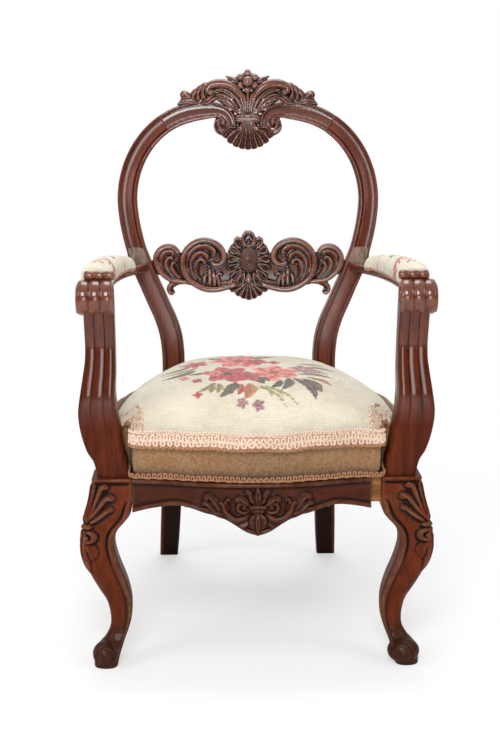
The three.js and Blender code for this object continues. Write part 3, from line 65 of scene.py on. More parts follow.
def along(rows: Rows, at: float, column: int = 1) -> float:
    """Read a smooth value from rows of shares.

    Args:
        rows: Rows that start with the share they stand at.
        at: The share to read at.
        column: The column to read.

    Returns:
        The value between the rows.
    """
    last = len(rows) - 1
    if at <= rows[0][0]:
        return rows[0][column]
    if at >= rows[last][0]:
        return rows[last][column]
    i = next(k for k in range(1, last + 1) if rows[k][0] > at) - 1

    def slope(k: int) -> float:
        """Slope of the rows round row k."""
        a, b = rows[max(k - 1, 0)], rows[min(k + 1, last)]
        return (b[column] - a[column]) / (b[0] - a[0])

    step = rows[i + 1][0] - rows[i][0]
    s = (at - rows[i][0]) / step
    return (
        (2 * s**3 - 3 * s**2 + 1) * rows[i][column]
        + (s**3 - 2 * s**2 + s) * step * slope(i)
        + (3 * s**2 - 2 * s**3) * rows[i + 1][column]
        + (s**3 - s**2) * step * slope(i + 1)
    )


def steps(count: int, low: float, high: float) -> list[float]:
    """Even steps from low to high, both ends included."""
    return [low + (high - low) * i / count for i in range(count + 1)]


def ease(low: float, high: float, at: float) -> float:
    """Share from 0 at low to 1 at high, with soft ends."""
    share = min(1.0, max(0.0, (at - low) / (high - low)))
    return share * share * (3 - 2 * share)


@dataclass(frozen=True)
class ChairLines:
    """Driving sizes of the chair and the curves that its pieces follow, in millimetres."""

    overall_height: float = 1012.0
    rail_top: float = 338.0
    corner_half: float = 277.0
    corner_reach: float = 297.0
    waist_reach: float = 180.0
    foot_reach: float = 325.0
    rake: float = 105.0
    post_half_span: float = 151.0
    post_splay: float = 67.0
    post_foot_splay: float = 17.0
    post_wide: float = 43.5
    post_deep: float = 46.0
    post_foot_deep: float = 30.0
    post_top: float = 650.0
    hoop_half: float = 240.0
    hoop_spring: float = 763.0
    hoop_crown: float = 934.5
    hoop_shoulder: float = 85.0
    hoop_wide: float = 38.5
    hoop_deep: float = 26.0
    joint_angle: float = 1.02
    front_bow: float = 33.0
    front_bow_half: float = 200.0
    leg_side: float = 66.0
    knee_half: float = 295.0
    face_height: float = 41.0
    deep_centre: float = 91.0
    rail_thick: float = 26.0
    side_bow: float = 9.0
    top_bead: float = 5.0
    shift: float = 6.1

    KICK: Rows = ((0, 1), (0.1, 0.6), (0.2, 0.28), (0.33, 0.045), (0.42, 0), (1, 0))
    RAKE: Rows = ((0, 0), (0.42, 0), (0.52, 0.055), (0.632, 0.19), (0.79, 0.505), (0.889, 0.733), (1, 1))
    POST_LINE: Rows = (
        (0, 1, 0), (0.1, 0.76, 0), (0.3, 0.35, 0), (0.5, 0, 0), (0.68, 0, 0), (0.712, 0, 0.01),
        (0.762, 0, 0.07), (0.811, 0, 0.21), (0.858, 0, 0.41), (0.908, 0, 0.62), (0.954, 0, 0.82), (1, 0, 1),
    )
    POST_WIDTH: Rows = ((0, 0.87), (0.1, 0.93), (0.5, 1), (0.85, 1.01), (1, 1))
    POST_DEPTH: Rows = ((0, 0), (0.15, 0.25), (0.3, 0.75), (0.44, 1), (0.6, 1), (0.8, 0.5), (1, 0))
    HOOP_LOWER: Rows = ((0, 0), (0.3, 0.44), (0.58, 0.76), (0.86, 0.96), (1, 1))
    BOW: Rows = ((0, 1), (0.25, 0.93), (0.5, 0.68), (0.75, 0.27), (1, 0))
    APRON: Rows = (
        (0, 1), (0.09, 0.88), (0.2, 0.58), (0.3, 0.36), (0.42, 0.24), (0.53, 0.1), (0.62, 0.04),
        (0.72, 0.08), (0.86, 0.2), (1, 0.36),
    )
    LEG: Rows = (
        (0, 0.25, 1.67), (0.036, 0.25, 1.53), (0.065, 0.22, 1.39), (0.1, -0.08, 1.17), (0.13, -0.69, 0.97),
        (0.178, -1.22, 0.61), (0.24, -1.34, 0.31), (0.33, -1.04, 0.24), (0.4, -0.43, 0.41),
        (0.47, 0.17, 0.72), (0.55, 0.73, 1.19), (0.61, 0.93, 1.49), (0.666, 0.98, 1.67), (0.72, 0.94, 1.56),
        (0.755, 0.86, 1.17), (0.78, 0.73, 0.67), (0.81, 0.55, 0.22), (0.85, 0.33, 0.03), (0.9, 0.12, 0),
        (0.97, 0, 0), (1, 0, 0),
    )

    @property
    def block_inner(self) -> float:
        """Inner side of a front leg's block."""
        return self.corner_half - self.leg_side

    @property
    def block_back(self) -> float:
        """Back of a front leg's block."""
        return self.leg_side - self.corner_reach

    def back(self, z: float) -> float:
        """How far the front of the posts and hoop lies towards the back at a height."""
        share = z / self.overall_height
        kick = self.foot_reach - self.post_foot_deep - self.waist_reach
        return self.waist_reach + kick * along(self.KICK, share) + self.rake * along(self.RAKE, share)

    def post_centre(self, z: float) -> float:
        """Sideways place of a post at a height."""
        share = z / self.post_top
        return (
            self.post_half_span
            + self.post_foot_splay * along(self.POST_LINE, share, 1)
            + self.post_splay * along(self.POST_LINE, share, 2)
        )

    def post_half_width(self, z: float) -> float:
        """Half the width of a post at a height."""
        return self.post_wide * along(self.POST_WIDTH, z / self.post_top) / 2

    def post_depth(self, z: float) -> float:
        """Depth of a post at a height."""
        return self.post_foot_deep + (self.post_deep - self.post_foot_deep) * along(
            self.POST_DEPTH, z / self.post_top
        )

    def hoop_point(self, station: float) -> Point2:
        """Centre of the hoop at a station, from -1 at the posts through 0 to a quarter turn at the crown."""
        if station < 0:
            share = 1 + station
            foot = self.post_centre(self.post_top)
            return (
                foot + (self.hoop_half - foot) * along(self.HOOP_LOWER, share),
                self.post_top + (self.hoop_spring - self.post_top) * share,
            )
        return (
            self.hoop_shoulder + (self.hoop_half - self.hoop_shoulder) * math.cos(station),
            self.hoop_spring + (self.hoop_crown - self.hoop_spring) * math.sin(station),
        )

    def seat_front(self, x: float) -> float:
        """Serpentine plan line of the seat's front."""
        return -self.corner_reach - self.front_bow * along(self.BOW, abs(x) / self.front_bow_half)

    def apron_edge(self, x: float) -> float:
        """Lower edge of the facing on the front rail."""
        drop = self.deep_centre - self.face_height
        return self.rail_top - self.face_height - drop * along(self.APRON, abs(x) / self.block_inner)

    def leg_reach(self, z: float) -> Point2:
        """Inner and outer reach of a front leg, sideways and forwards alike, at a height."""
        rise = self.knee_half - self.corner_half
        share = z / self.rail_top
        return (
            self.block_inner + rise * along(self.LEG, share, 2),
            self.corner_half + rise * along(self.LEG, share, 1),
        )

    def side_centre(self, y: float) -> float:
        """Sideways place of a side rail's centre line."""
        front = self.corner_half - self.rail_thick / 2 - self.top_bead
        start, end = self.block_back + 0.3, self.waist_reach - 0.3
        share = (y - start) / (end - start)
        return front + (self.post_half_span - front) * share + self.side_bow * math.sin(math.pi * share)


LINES = ChairLines()


# Workshop: small moves that every sub-assembly uses.


def pick(*objects: bpy.types.Object) -> bpy.types.Object:
    """Select these objects and nothing else.

    Args:
        objects: What to select; the first becomes active.

    Returns:
        The active object.
    """
    bpy.ops.object.select_all(action="DESELECT")
    for item in objects:
        item.select_set(True)
    bpy.context.view_layer.objects.active = objects[0]
    return objects[0]


def edit(piece: bpy.types.Object, action: str = "SELECT") -> None:
    """Go into edit mode on a piece, with everything or nothing selected."""
    pick(piece)
    bpy.ops.object.mode_set(mode="EDIT")
    bpy.ops.mesh.select_all(action=action)


def leave() -> None:
    """Come back from edit mode."""
    bpy.ops.object.mode_set(mode="OBJECT")


def modify(piece: bpy.types.Object, kind: str, **settings: object) -> bpy.types.Object:
    """Add a modifier and apply it.

    Args:
        piece: The piece to change.
        kind: Blender's name of the modifier.
        settings: Its settings.

    Returns:
        The piece.
    """
    pick(piece)
    change = piece.modifiers.new(kind.title(), kind)
    for name, value in settings.items():
        setattr(change, name, value)
    bpy.ops.object.modifier_apply(modifier=change.name)
    return piece


def grow(name: str, rings: Sequence[Ring]) -> bpy.types.Object:
    """Extrude a face from ring to ring.

    Args:
        name: Name of the piece.
        rings: Rings of as many points each, in millimetres.

    Returns:
        A closed piece through all the rings.
    """
    bpy.ops.object.select_all(action="DESELECT")
    bpy.ops.mesh.primitive_circle_add(vertices=len(rings[0]), radius=1, fill_type="NGON")
    piece = bpy.context.active_object
    piece.name = piece.data.name = name
    bpy.ops.object.mode_set(mode="EDIT")
    work = bmesh.from_edit_mesh(piece.data)
    place = work.verts.layers.int.new("place")
    for i, vert in enumerate(work.verts):
        vert[place] = i
        vert.co = rings[0][i]
    bpy.ops.mesh.select_all(action="SELECT")
    for ring in rings[1:]:
        bpy.ops.mesh.extrude_region_move()
        work = bmesh.from_edit_mesh(piece.data)
        place = work.verts.layers.int["place"]
        top = next(face for face in work.faces if face.select)
        for vert in top.verts:
            vert.co = ring[vert[place]]
    bmesh.update_edit_mesh(piece.data)
    bpy.ops.mesh.select_all(action="SELECT")
    bpy.ops.mesh.normals_make_consistent(inside=False)
    leave()
    piece.data.attributes.remove(piece.data.attributes["place"])
    return piece


def join(name: str, parts: Sequence[bpy.types.Object]) -> bpy.types.Object:
    """Join parts into one piece of this name."""
    whole = pick(*parts)
    if len(parts) > 1:
        bpy.ops.object.join()
    whole.name = whole.data.name = name
    return whole


def mirrored(piece: bpy.types.Object, name: str) -> bpy.types.Object:
    """Copy a piece to the other side of the chair.

    Args:
        piece: The piece on the right.
        name: Name of the copy.

    Returns:
        The copy on the left, with its own mesh.
    """
    pick(piece)
    bpy.ops.object.duplicate(linked=False)
    twin = bpy.context.active_object
    twin.name = twin.data.name = name
    edit(twin)
    bpy.ops.transform.resize(value=(-1, 1, 1), center_override=(0, 0, 0))
    bpy.ops.mesh.flip_normals()
    leave()
    return twin


def points_of(mesh: bpy.types.Mesh, what: str = "co") -> np.ndarray:
    """The vertices' places or normals, one row each."""
    flat = np.empty(len(mesh.vertices) * 3)
    mesh.vertices.foreach_get(what, flat)
    return flat.reshape(-1, 3)


def set_points(mesh: bpy.types.Mesh, points: np.ndarray) -> None:
    """Put the vertices at these places."""
    mesh.vertices.foreach_set("co", points.ravel())
    mesh.update()


def mark_wear_and_painted_light(piece: bpy.types.Object, passes: int = 2, reach: float = 0.006) -> None:
    """Note on each point how far it stands out or lies in a hollow, for wear and old polish and for their
    painted highlight and shade.

    Args:
        piece: A finished piece, in metres.
        passes: How far the note spreads from point to point.
        reach: Twice the radius that counts as fully worn.
    """
    mesh = piece.data
    spots, normals = points_of(mesh), points_of(mesh, "normal")
    ends = np.empty(len(mesh.edges) * 2, dtype=np.int32)
    mesh.edges.foreach_get("vertices", ends)
    a, b = ends.reshape(-1, 2).T
    size = len(spots)
    count = np.maximum(np.bincount(a, minlength=size) + np.bincount(b, minlength=size), 1)

    def gather(at_a: np.ndarray, at_b: np.ndarray) -> np.ndarray:
        """Sum at each point of what its edges bring."""
        return np.bincount(a, at_a, size) + np.bincount(b, at_b, size)

    run = spots[b] - spots[a]
    square = np.maximum((run**2).sum(1), 1e-10)
    bend = gather(-(normals[a] * run).sum(1) / square, (normals[b] * run).sum(1) / square) / count * reach
    for _ in range(passes):
        bend = (bend * 2 + gather(bend[b], bend[a])) / (count + 2)
    bend *= 1 + 0.25 * passes
    for name, value in (("worn", bend), ("hollow", -bend)):
        layer = mesh.attributes.new(name, "FLOAT", "POINT")
        layer.data.foreach_set("value", np.clip(value, 0, 1).astype(np.float32))


def finish(piece: bpy.types.Object, nodes: Sequence[str], material: bpy.types.Material,
           angle: float = 50, passes: int = 2) -> bpy.types.Object:
    """Bring a piece from millimetres to metres, shade it, dress it and set it in the frame.

    Args:
        piece: The piece, in millimetres.
        nodes: The nodes it stands for.
        material: Its finish.
        angle: Edges sharper than this stay sharp.
        passes: How far the notes of wear and hollows, with their painted highlight and shade, spread from
            point to point.

    Returns:
        The piece.
    """
    mesh = piece.data
    set_points(mesh, (points_of(mesh) + (0, LINES.shift, 0)) * MM)
    pick(piece)
    bpy.ops.object.shade_smooth_by_angle(angle=math.radians(angle))
    mark_wear_and_painted_light(piece, passes)
    mesh.materials.clear()
    mesh.materials.append(material)
    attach(piece, BODY)
    if nodes:
        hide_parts(*nodes)
    LOG.info("%s: %d faces", piece.name, len(mesh.polygons))
    return piece


def finish_pair(piece: bpy.types.Object, name: str, nodes: Sequence[str], material: bpy.types.Material,
                angle: float = 50) -> None:
    """Mirror a wooden piece to the left and finish both.

    Args:
        piece: The piece on the right, in millimetres.
        name: Name of its copy on the left.
        nodes: The right node and the left one, or none.
        material: Their finish.
        angle: Edges sharper than this stay sharp.
    """
    twin = mirrored(piece, name)
    finish(piece, nodes[:1], material, angle)
    finish(twin, nodes[1:], material, angle)


def egg(name: str, centre: Sequence[float], radii: Sequence[float], turn: float = 0.0,
        rows: int = 14, columns: int = 20) -> bpy.types.Object:
    """A domed boss on a bench.

    Args:
        name: Name of the part.
        centre: Its middle on the bench.
        radii: Its three half sizes.
        turn: Turn in the plane of the bench, in radians.
        rows: Rings of the dome.
        columns: Faces round the dome.

    Returns:
        The part, in bench millimetres.
    """
    bpy.ops.object.select_all(action="DESELECT")
    bpy.ops.mesh.primitive_uv_sphere_add(segments=columns, ring_count=rows, radius=1)
    part = bpy.context.active_object
    part.name = name
    edit(part)
    bpy.ops.transform.resize(value=tuple(radii))
    leave()
    spots = points_of(part.data)
    c, s = math.cos(turn), math.sin(turn)
    across, up, high = spots.T
    turned = np.column_stack((across * c - up * s, across * s + up * c, high))
    set_points(part.data, turned + np.array(centre))
    return part


# Carving: strokes are cut flat on a bench, then laid on the face that they belong to.


class Cut(Enum):
    """Section that a stroke of carving has, from its left edge to its right one, and up."""

    BEAD = (
        (-1, -1.6), (-1, 0), (-0.92, 0.38), (-0.7, 0.71), (-0.38, 0.92), (0, 1), (0.38, 0.92), (0.7, 0.71),
        (0.92, 0.38), (1, 0), (1, -1.6),
    )
    FLUTE = (
        (-1, -1.6), (-1, 0.5), (-0.93, 0.85), (-0.8, 1), (-0.66, 0.8), (-0.42, 0.25), (0, 0.02),
        (0.42, 0.25), (0.66, 0.8), (0.8, 1), (0.93, 0.85), (1, 0.5), (1, -1.6),
    )
    LEAF = (
        (-1, -1.6), (-1, 0), (-0.85, 0.5), (-0.55, 0.9), (-0.28, 0.95), (-0.1, 0.7), (0, 0.3), (0.1, 0.7),
        (0.28, 0.95), (0.55, 0.9), (0.85, 0.5), (1, 0), (1, -1.6),
    )
    SHINGLE = (
        (-1, -1.6), (-1, -0.25), (-0.7, 0), (-0.25, 0.4), (0.2, 0.8), (0.5, 1), (0.78, 0.9), (0.94, 0.6),
        (1, 0.1), (1, -1.6),
    )
    RIBBON = (
        (-1, -1.6), (-1, 0.5), (-0.85, 0.95), (-0.62, 0.9), (-0.46, 0.1), (-0.3, 0.8), (0, 1), (0.3, 0.8),
        (0.46, 0.1), (0.62, 0.9), (0.85, 0.95), (1, 0.5), (1, -1.6),
    )


class Tip(Enum):
    """How the two ends of a stroke close: rounded, or drawn out to a point."""

    ROUND = (True, True)
    CUPPED = (False, True)
    DRAWN = (False, False)
    ROOTED = (True, False)


@dataclass(frozen=True)
class Stroke:
    """One stroke of carving.

    Attributes:
        line: Points on the bench that the stroke runs through.
        widths: Half widths at even steps from its start to its end.
        cut: Its section.
        rise: Height of the section as a share of its half width.
        lift: How high it stands over the bench at even steps.
        tip: How its ends close.
    """

    line: Line
    widths: Shares
    cut: Cut = Cut.LEAF
    rise: float = 0.9
    lift: Shares = (2.0,)
    tip: Tip = Tip.DRAWN

    def points(self) -> list[tuple[float, float, float, float]]:
        """Places along the stroke.

        Returns:
            Across, up, height and half width of each place.
        """
        knots = np.array(self.line, dtype=float)
        at = np.concatenate(([0], np.cumsum(np.linalg.norm(np.diff(knots, axis=0), axis=1))))
        total = float(at[-1])
        across, up = list(zip(at, knots[:, 0])), list(zip(at, knots[:, 1]))
        wide, high = (
            list(zip(steps(max(1, len(row) - 1), 0, 1), row * (2 if len(row) == 1 else 1)))
            for row in (self.widths, self.lift)
        )
        count = int(min(90, max(12, total / 1.5)))
        found = []
        for i in range(count + 1):
            share = 0.5 - 0.5 * math.cos(math.pi * i / count)
            width = along(wide, share)
            for near, is_round in zip((share * total, (1 - share) * total), self.tip.value):
                reach = width if is_round else width * 2.2
                if near < reach:
                    part = near / reach
                    width *= math.sqrt(max(0.0, part * (2 - part))) if is_round else part**0.75
            found.append((along(across, share * total), along(up, share * total), along(high, share),
                          max(width, 0.05)))
        return found


def lobe(line: Line, widths: Shares, lift: Shares, rise: float = 0.9) -> Stroke:
    """A lobe that slopes to one side and ends round."""
    return Stroke(line, widths, Cut.SHINGLE, rise, lift, Tip.CUPPED)


def blade(line: Line, widths: Shares, lift: Shares, rise: float = 0.9) -> Stroke:
    """A narrow leaf that slopes to one side and ends in a point."""
    return Stroke(line, widths, Cut.SHINGLE, rise, lift)


def leaf(line: Line, widths: Shares, lift: Shares, rise: float = 0.9) -> Stroke:
    """A leaf with a vein, drawn out to a point."""
    return Stroke(line, widths, Cut.LEAF, rise, lift)


def scroll(line: Line, widths: Shares, lift: Shares, rise: float = 0.9) -> Stroke:
    """A round bead that ends in a round curl."""
    return Stroke(line, widths, Cut.BEAD, rise, lift, Tip.CUPPED)


class CarvingBench:
    """Cuts strokes flat, across and up, with their height as Z, all rooted under the ground."""

    root: float = -5.0

    def __init__(self) -> None:
        """Start with no section cut yet."""
        self._sections: dict[tuple[Cut, float], bpy.types.Object] = {}

    def _curve(self, name: str, flat: bool) -> bpy.types.Object:
        """An empty curve object."""
        curve = bpy.data.curves.new(name, "CURVE")
        curve.dimensions = "2D" if flat else "3D"
        item = bpy.data.objects.new(name, curve)
        bpy.context.collection.objects.link(item)
        return item

    def _section(self, cut: Cut, rise: float) -> bpy.types.Object:
        """The section of a cut at one rise, made once."""
        if (cut, rise) not in self._sections:
            item = self._curve(f"section_{cut.name.lower()}", True)
            spline = item.data.splines.new("POLY")
            spline.points.add(len(cut.value) - 1)
            for point, (across, up) in zip(spline.points, cut.value):
                point.co = (across, up * (rise if up > 0 else 1), 0, 1)
            spline.use_cyclic_u = True
            self._sections[cut, rise] = item
        return self._sections[cut, rise]

    def carve(self, name: str, strokes: Sequence[Stroke], pair: bool = False) -> bpy.types.Object:
        """Cut strokes into one part.

        Args:
            name: Name of the part.
            strokes: The strokes.
            pair: Whether their mirror images belong to the part too.

        Returns:
            The part, flat on the bench.
        """
        groups: dict[tuple[Cut, float], list[Stroke]] = {}
        for stroke in strokes:
            groups.setdefault((stroke.cut, stroke.rise), []).append(stroke)
        parts = []
        for (cut, rise), members in groups.items():
            item = self._curve(name, False)
            for member in members:
                places = member.points()
                spline = item.data.splines.new("POLY")
                spline.points.add(len(places) - 1)
                for point, (u, v, high, width) in zip(spline.points, places):
                    point.co = (u, v, high, 1)
                    point.radius = width
            item.data.twist_mode = "Z_UP"
            item.data.bevel_mode = "OBJECT"
            item.data.bevel_object = self._section(cut, rise)
            item.data.use_fill_caps = True
            pick(item)
            bpy.ops.object.convert(target="MESH")
            part = bpy.context.active_object
            spots = points_of(part.data)
            foot = np.isin(np.arange(len(spots)) % len(cut.value), (0, len(cut.value) - 1))
            spots[foot, 2] = np.minimum(spots[foot, 2], self.root)
            set_points(part.data, spots)
            edit(part)
            bpy.ops.mesh.remove_doubles(threshold=0.0005)
            bpy.ops.mesh.normals_make_consistent(inside=False)
            leave()
            parts.append(part)
        whole = join(name, parts)
        return join(name, [whole, mirrored(whole, f"{name}_twin")]) if pair else whole

    def clear(self) -> None:
        """Take the sections off the bench."""
        for item in self._sections.values():
            bpy.data.objects.remove(item, do_unlink=True)
        self._sections.clear()


BENCH = CarvingBench()


def skin(piece: bpy.types.Object, cell: float, soften: int = 2) -> bpy.types.Object:
    """Turn overlapping parts into one carved skin.

    Args:
        piece: The joined parts, in millimetres.
        cell: Size of the skin's cells.
        soften: How often its edges are softened.

    Returns:
        The piece.
    """
    modify(piece, "REMESH", mode="VOXEL", voxel_size=cell, adaptivity=0.0)
    return modify(piece, "SMOOTH", factor=0.5, iterations=soften)


def lay(part: bpy.types.Object, place: Callable[[float, float, float], Sequence[float]]) -> bpy.types.Object:
    """Move a part from the bench to its face on the chair.

    Args:
        part: The flat part.
        place: Gives the place on the chair of an across, up and height.

    Returns:
        The part, in the chair's own millimetres.
    """
    spots = points_of(part.data)
    set_points(part.data, np.array([place(*map(float, spot)) for spot in spots]))
    edit(part)
    bpy.ops.mesh.normals_make_consistent(inside=False)
    leave()
    return part


def on_back(u: float, v: float, h: float) -> tuple[float, float, float]:
    """Place on the raked face of the back."""
    return (u, LINES.back(v) - h, v)


def on_apron(u: float, v: float, h: float) -> tuple[float, float, float]:
    """Place on the bowed face of the front rail."""
    return (u, LINES.seat_front(u) - h, v)


def board(name: str, outline: Sequence[Point2], low: float, high: float) -> bpy.types.Object:
    """A board that is sawn to an outline on the bench.

    Args:
        name: Name of the part.
        outline: Its outline.
        low: Height of its back.
        high: Height of its face.

    Returns:
        The board, flat on the bench.
    """
    return grow(name, [[(u, v, low) for u, v in outline], [(u, v, high) for u, v in outline]])


def whole_outline(half: Sequence[Point2]) -> list[Point2]:
    """An outline and its mirror image, from the bottom round by the right."""
    return [*half, *[(-u, v) for u, v in reversed(half) if abs(u) > 0.01]]


def spline(points: Sequence[Point2], count: int) -> list[Point2]:
    """A smooth line through points, at even steps.

    Args:
        points: Points to run through.
        count: How many steps.

    Returns:
        The points of the smooth line.
    """
    knots = np.array(points, dtype=float)
    at = np.concatenate(([0], np.cumsum(np.linalg.norm(np.diff(knots, axis=0), axis=1))))
    across = list(zip(at, knots[:, 0]))
    up = list(zip(at, knots[:, 1]))
    return [(along(across, s), along(up, s)) for s in steps(count, 0, float(at[-1]))]


# Finishes.


class Graph:
    """Short hand for adding and joining shader nodes in one tree."""

    def __init__(self, tree: bpy.types.NodeTree) -> None:
        """Work on this tree."""
        self.tree = tree

    def add(self, kind: str, values: dict[str | int, object] | None = None,
            **settings: object) -> bpy.types.Node:
        """Add a node.

        Args:
            kind: Blender's name of the node.
            values: Values or sockets for its inputs, by name or number.
            settings: Its settings.

        Returns:
            The node.
        """
        node = self.tree.nodes.new(kind)
        for name, value in settings.items():
            setattr(node, name, value)
        self.feed(node, values or {})
        return node

    def feed(self, node: bpy.types.Node, values: dict[str | int, object]) -> None:
        """Set a node's inputs, by name or number, to values or join them to sockets."""
        for name, value in values.items():
            if isinstance(value, bpy.types.NodeSocket):
                self.tree.links.new(value, node.inputs[name])
            else:
                node.inputs[name].default_value = value

    def math(self, operation: str, a: object, b: object = 0.0, clamp: bool = False) -> bpy.types.NodeSocket:
        """What a sum gives for two values."""
        return self.add("ShaderNodeMath", {0: a, 1: b}, operation=operation, use_clamp=clamp).outputs[0]

    def mix(self, share: object, a: object, b: object, blend: str = "MIX") -> bpy.types.NodeSocket:
        """A mix of two colours."""
        node = self.add("ShaderNodeMix", {0: share, 6: a, 7: b}, data_type="RGBA", blend_type=blend)
        return node.outputs[2]

    def times(self, a: object, b: object, clamp: bool = False) -> bpy.types.NodeSocket:
        """One value times another."""
        return self.math("MULTIPLY", a, b, clamp)

    def noise(self, place: object, scale: float, detail: float, rough: float = 0.5,
              bent: float = 0.0) -> bpy.types.NodeSocket:
        """A cloudy pattern."""
        return self.add("ShaderNodeTexNoise", {"Vector": place, "Scale": scale, "Detail": detail,
                                               "Roughness": rough, "Distortion": bent}).outputs[0]

    def blend(self, share: object, a: object, b: object) -> bpy.types.NodeSocket:
        """A mix of two values."""
        return self.add("ShaderNodeMix", {0: share, 2: a, 3: b}).outputs[0]

    def ramp(self, value: object, stops: Sequence[tuple[float, Colour]]) -> bpy.types.NodeSocket:
        """A colour ramp over a value."""
        node = self.add("ShaderNodeValToRGB", {0: value})
        elements = node.color_ramp.elements
        while len(elements) < len(stops):
            elements.new(0.5)
        for element, (at, colour) in zip(elements, stops):
            element.position, element.color = at, colour
        return node.outputs[0]

    def span(self, value: object, low: float, high: float, to_low: float = 0.0,
             to_high: float = 1.0) -> bpy.types.NodeSocket:
        """A value brought from one range to another, held at its ends."""
        return self.add("ShaderNodeMapRange", {0: value, 1: low, 2: high, 3: to_low, 4: to_high}).outputs[0]


def rgb(red: int, green: int, blue: int) -> tuple[float, float, float, float]:
    """A colour as seen on screen, turned to Blender's linear values."""
    return tuple(
        c / 12.92 if c <= 0.04045 else ((c + 0.055) / 1.055) ** 2.4
        for c in (red / 255, green / 255, blue / 255)
    ) + (1.0,)


def new_group(name: str, inputs: Sequence[tuple[str, str, object]],
              outputs: Sequence[tuple[str, str]]) -> tuple[bpy.types.NodeTree, Graph, bpy.types.Node]:
    """Start a shader node group.

    Args:
        name: Name of the group.
        inputs: Name, socket kind and default of each input.
        outputs: Name and socket kind of each output.

    Returns:
        The group, a graph on it and its input node.
    """
    tree = bpy.data.node_groups.new(name, "ShaderNodeTree")
    for label, kind, default in inputs:
        socket = tree.interface.new_socket(label, in_out="INPUT", socket_type=f"NodeSocket{kind}")
        socket.default_value = default
    for label, kind in outputs:
        tree.interface.new_socket(label, in_out="OUTPUT", socket_type=f"NodeSocket{kind}")
    graph = Graph(tree)
    return tree, graph, graph.add("NodeGroupInput")


def wood_grain() -> bpy.types.NodeTree:
    """Node group of long wood figure with pores.

    Returns:
        A group that gives a figure from dark to light and the height of the pores.
    """
    tree, graph, given = new_group(
        "wood_grain",
        [("Vector", "Vector", (0, 0, 0)), ("Figure", "Float", 1.0), ("Pores", "Float", 1.0)],
        [("Figure", "Float"), ("Pores", "Float")],
    )
    place = given.outputs["Vector"]
    figure = graph.math("ADD", graph.times(graph.noise(place, 1.4, 4.0, 0.6, 0.6), 0.6),
                        graph.times(graph.noise(place, 7.0, 3.0, 0.55), 0.4))
    figure = graph.math("SUBTRACT", graph.span(figure, 0.34, 0.66), 0.5)
    figure = graph.math("ADD", graph.times(figure, given.outputs["Figure"]), 0.5)
    pores = graph.times(graph.span(graph.noise(place, 34.0, 2.0), 0.56, 0.72), given.outputs["Pores"])
    graph.add("NodeGroupOutput", {"Figure": figure, "Pores": pores})
    return tree


def polish_wear_and_painted_light() -> bpy.types.NodeTree:
    """Node group of the wear that handling leaves on polished wood, with painted highlight on its edges and
    painted shade in its hollows.

    Returns:
        A group that gives masks of rubbed and highlit edges, of dark wax and painted shade in hollows and of
        dull patches.
    """
    tree, graph, given = new_group(
        "polish_wear_and_painted_light",
        [("Vector", "Vector", (0, 0, 0)), ("Rubbing", "Float", 1.0), ("Wax", "Float", 1.0)],
        [("Rubbed", "Float"), ("Wax", "Float"), ("Dull", "Float")],
    )
    worn = graph.add("ShaderNodeAttribute", attribute_name="worn")
    hollow = graph.add("ShaderNodeAttribute", attribute_name="hollow")
    broken = graph.noise(given.outputs["Vector"], 85.0, 5.0, 0.65)
    patches = graph.noise(given.outputs["Vector"], 17.0, 4.0, 0.6)
    edge = graph.span(worn.outputs["Fac"], 0.25, 0.9)
    chance = graph.times(graph.span(patches, 0.4, 0.62), 0.6)
    chance = graph.math("ADD", graph.span(broken, 0.35, 0.68), chance)
    # Rubbed edges: real wear, together with a pale painted highlight on convex edges.
    rubbed = graph.times(graph.times(edge, chance), given.outputs["Rubbing"], True)
    # Dark wax in hollows, which also paints the shade that falls there.
    wax = graph.times(graph.span(hollow.outputs["Fac"], 0.03, 0.42), given.outputs["Wax"], True)
    dull = graph.span(patches, 0.38, 0.66)
    graph.add("NodeGroupOutput", {"Rubbed": rubbed, "Wax": wax, "Dull": dull})
    return tree


def thread_weave() -> bpy.types.NodeTree:
    """Node group of small stitches laid side by side.

    Returns:
        A group that gives the height of the threads and a slow change from thread to thread.
    """
    tree, graph, given = new_group(
        "thread_weave",
        [("Vector", "Vector", (0, 0, 0)), ("Pitch", "Float", 0.0022)],
        [("Height", "Float"), ("Shade", "Float")],
    )
    pitch = graph.add("ShaderNodeCombineXYZ", {k: given.outputs["Pitch"] for k in ("X", "Y", "Z")}).outputs[0]
    place = given.outputs["Vector"]
    turned = graph.add("ShaderNodeVectorMath", {0: place, 1: pitch}, operation="DIVIDE").outputs[0]
    cells = graph.add("ShaderNodeTexVoronoi", {"Vector": turned, "Scale": 1.0, "Randomness": 0.35})
    height = graph.math("POWER", graph.span(cells.outputs["Distance"], 0.0, 0.75), 1.6)
    height = graph.math("SUBTRACT", 1.0, height)
    height = graph.math("ADD", height, graph.times(graph.noise(turned, 2.2, 2.0), 0.25))
    apart = graph.add("ShaderNodeSeparateColor", {0: cells.outputs["Color"]})
    graph.add("NodeGroupOutput", {"Height": height, "Shade": apart.outputs[0]})
    return tree


class Grain(Enum):
    """Way that the grain of a piece runs, as a stretch of its pattern."""

    UPRIGHT = (46.0, 46.0, 3.2)
    ACROSS = (3.2, 46.0, 46.0)
    DEEP = (46.0, 3.2, 46.0)


class Groups:
    """Node groups that the finishes share, each built once."""

    def __init__(self) -> None:
        """Build the groups."""
        self.grain = wood_grain()
        self.polish = polish_wear_and_painted_light()
        self.weave = thread_weave()


def start_material(name: str) -> tuple[bpy.types.Material, Graph, bpy.types.Node]:
    """A new material.

    Args:
        name: Its name.

    Returns:
        The material, a graph on it and its Principled shader.
    """
    material = bpy.data.materials.new(name)
    material.use_nodes = True
    graph = Graph(material.node_tree)
    return material, graph, material.node_tree.nodes["Principled BSDF"]


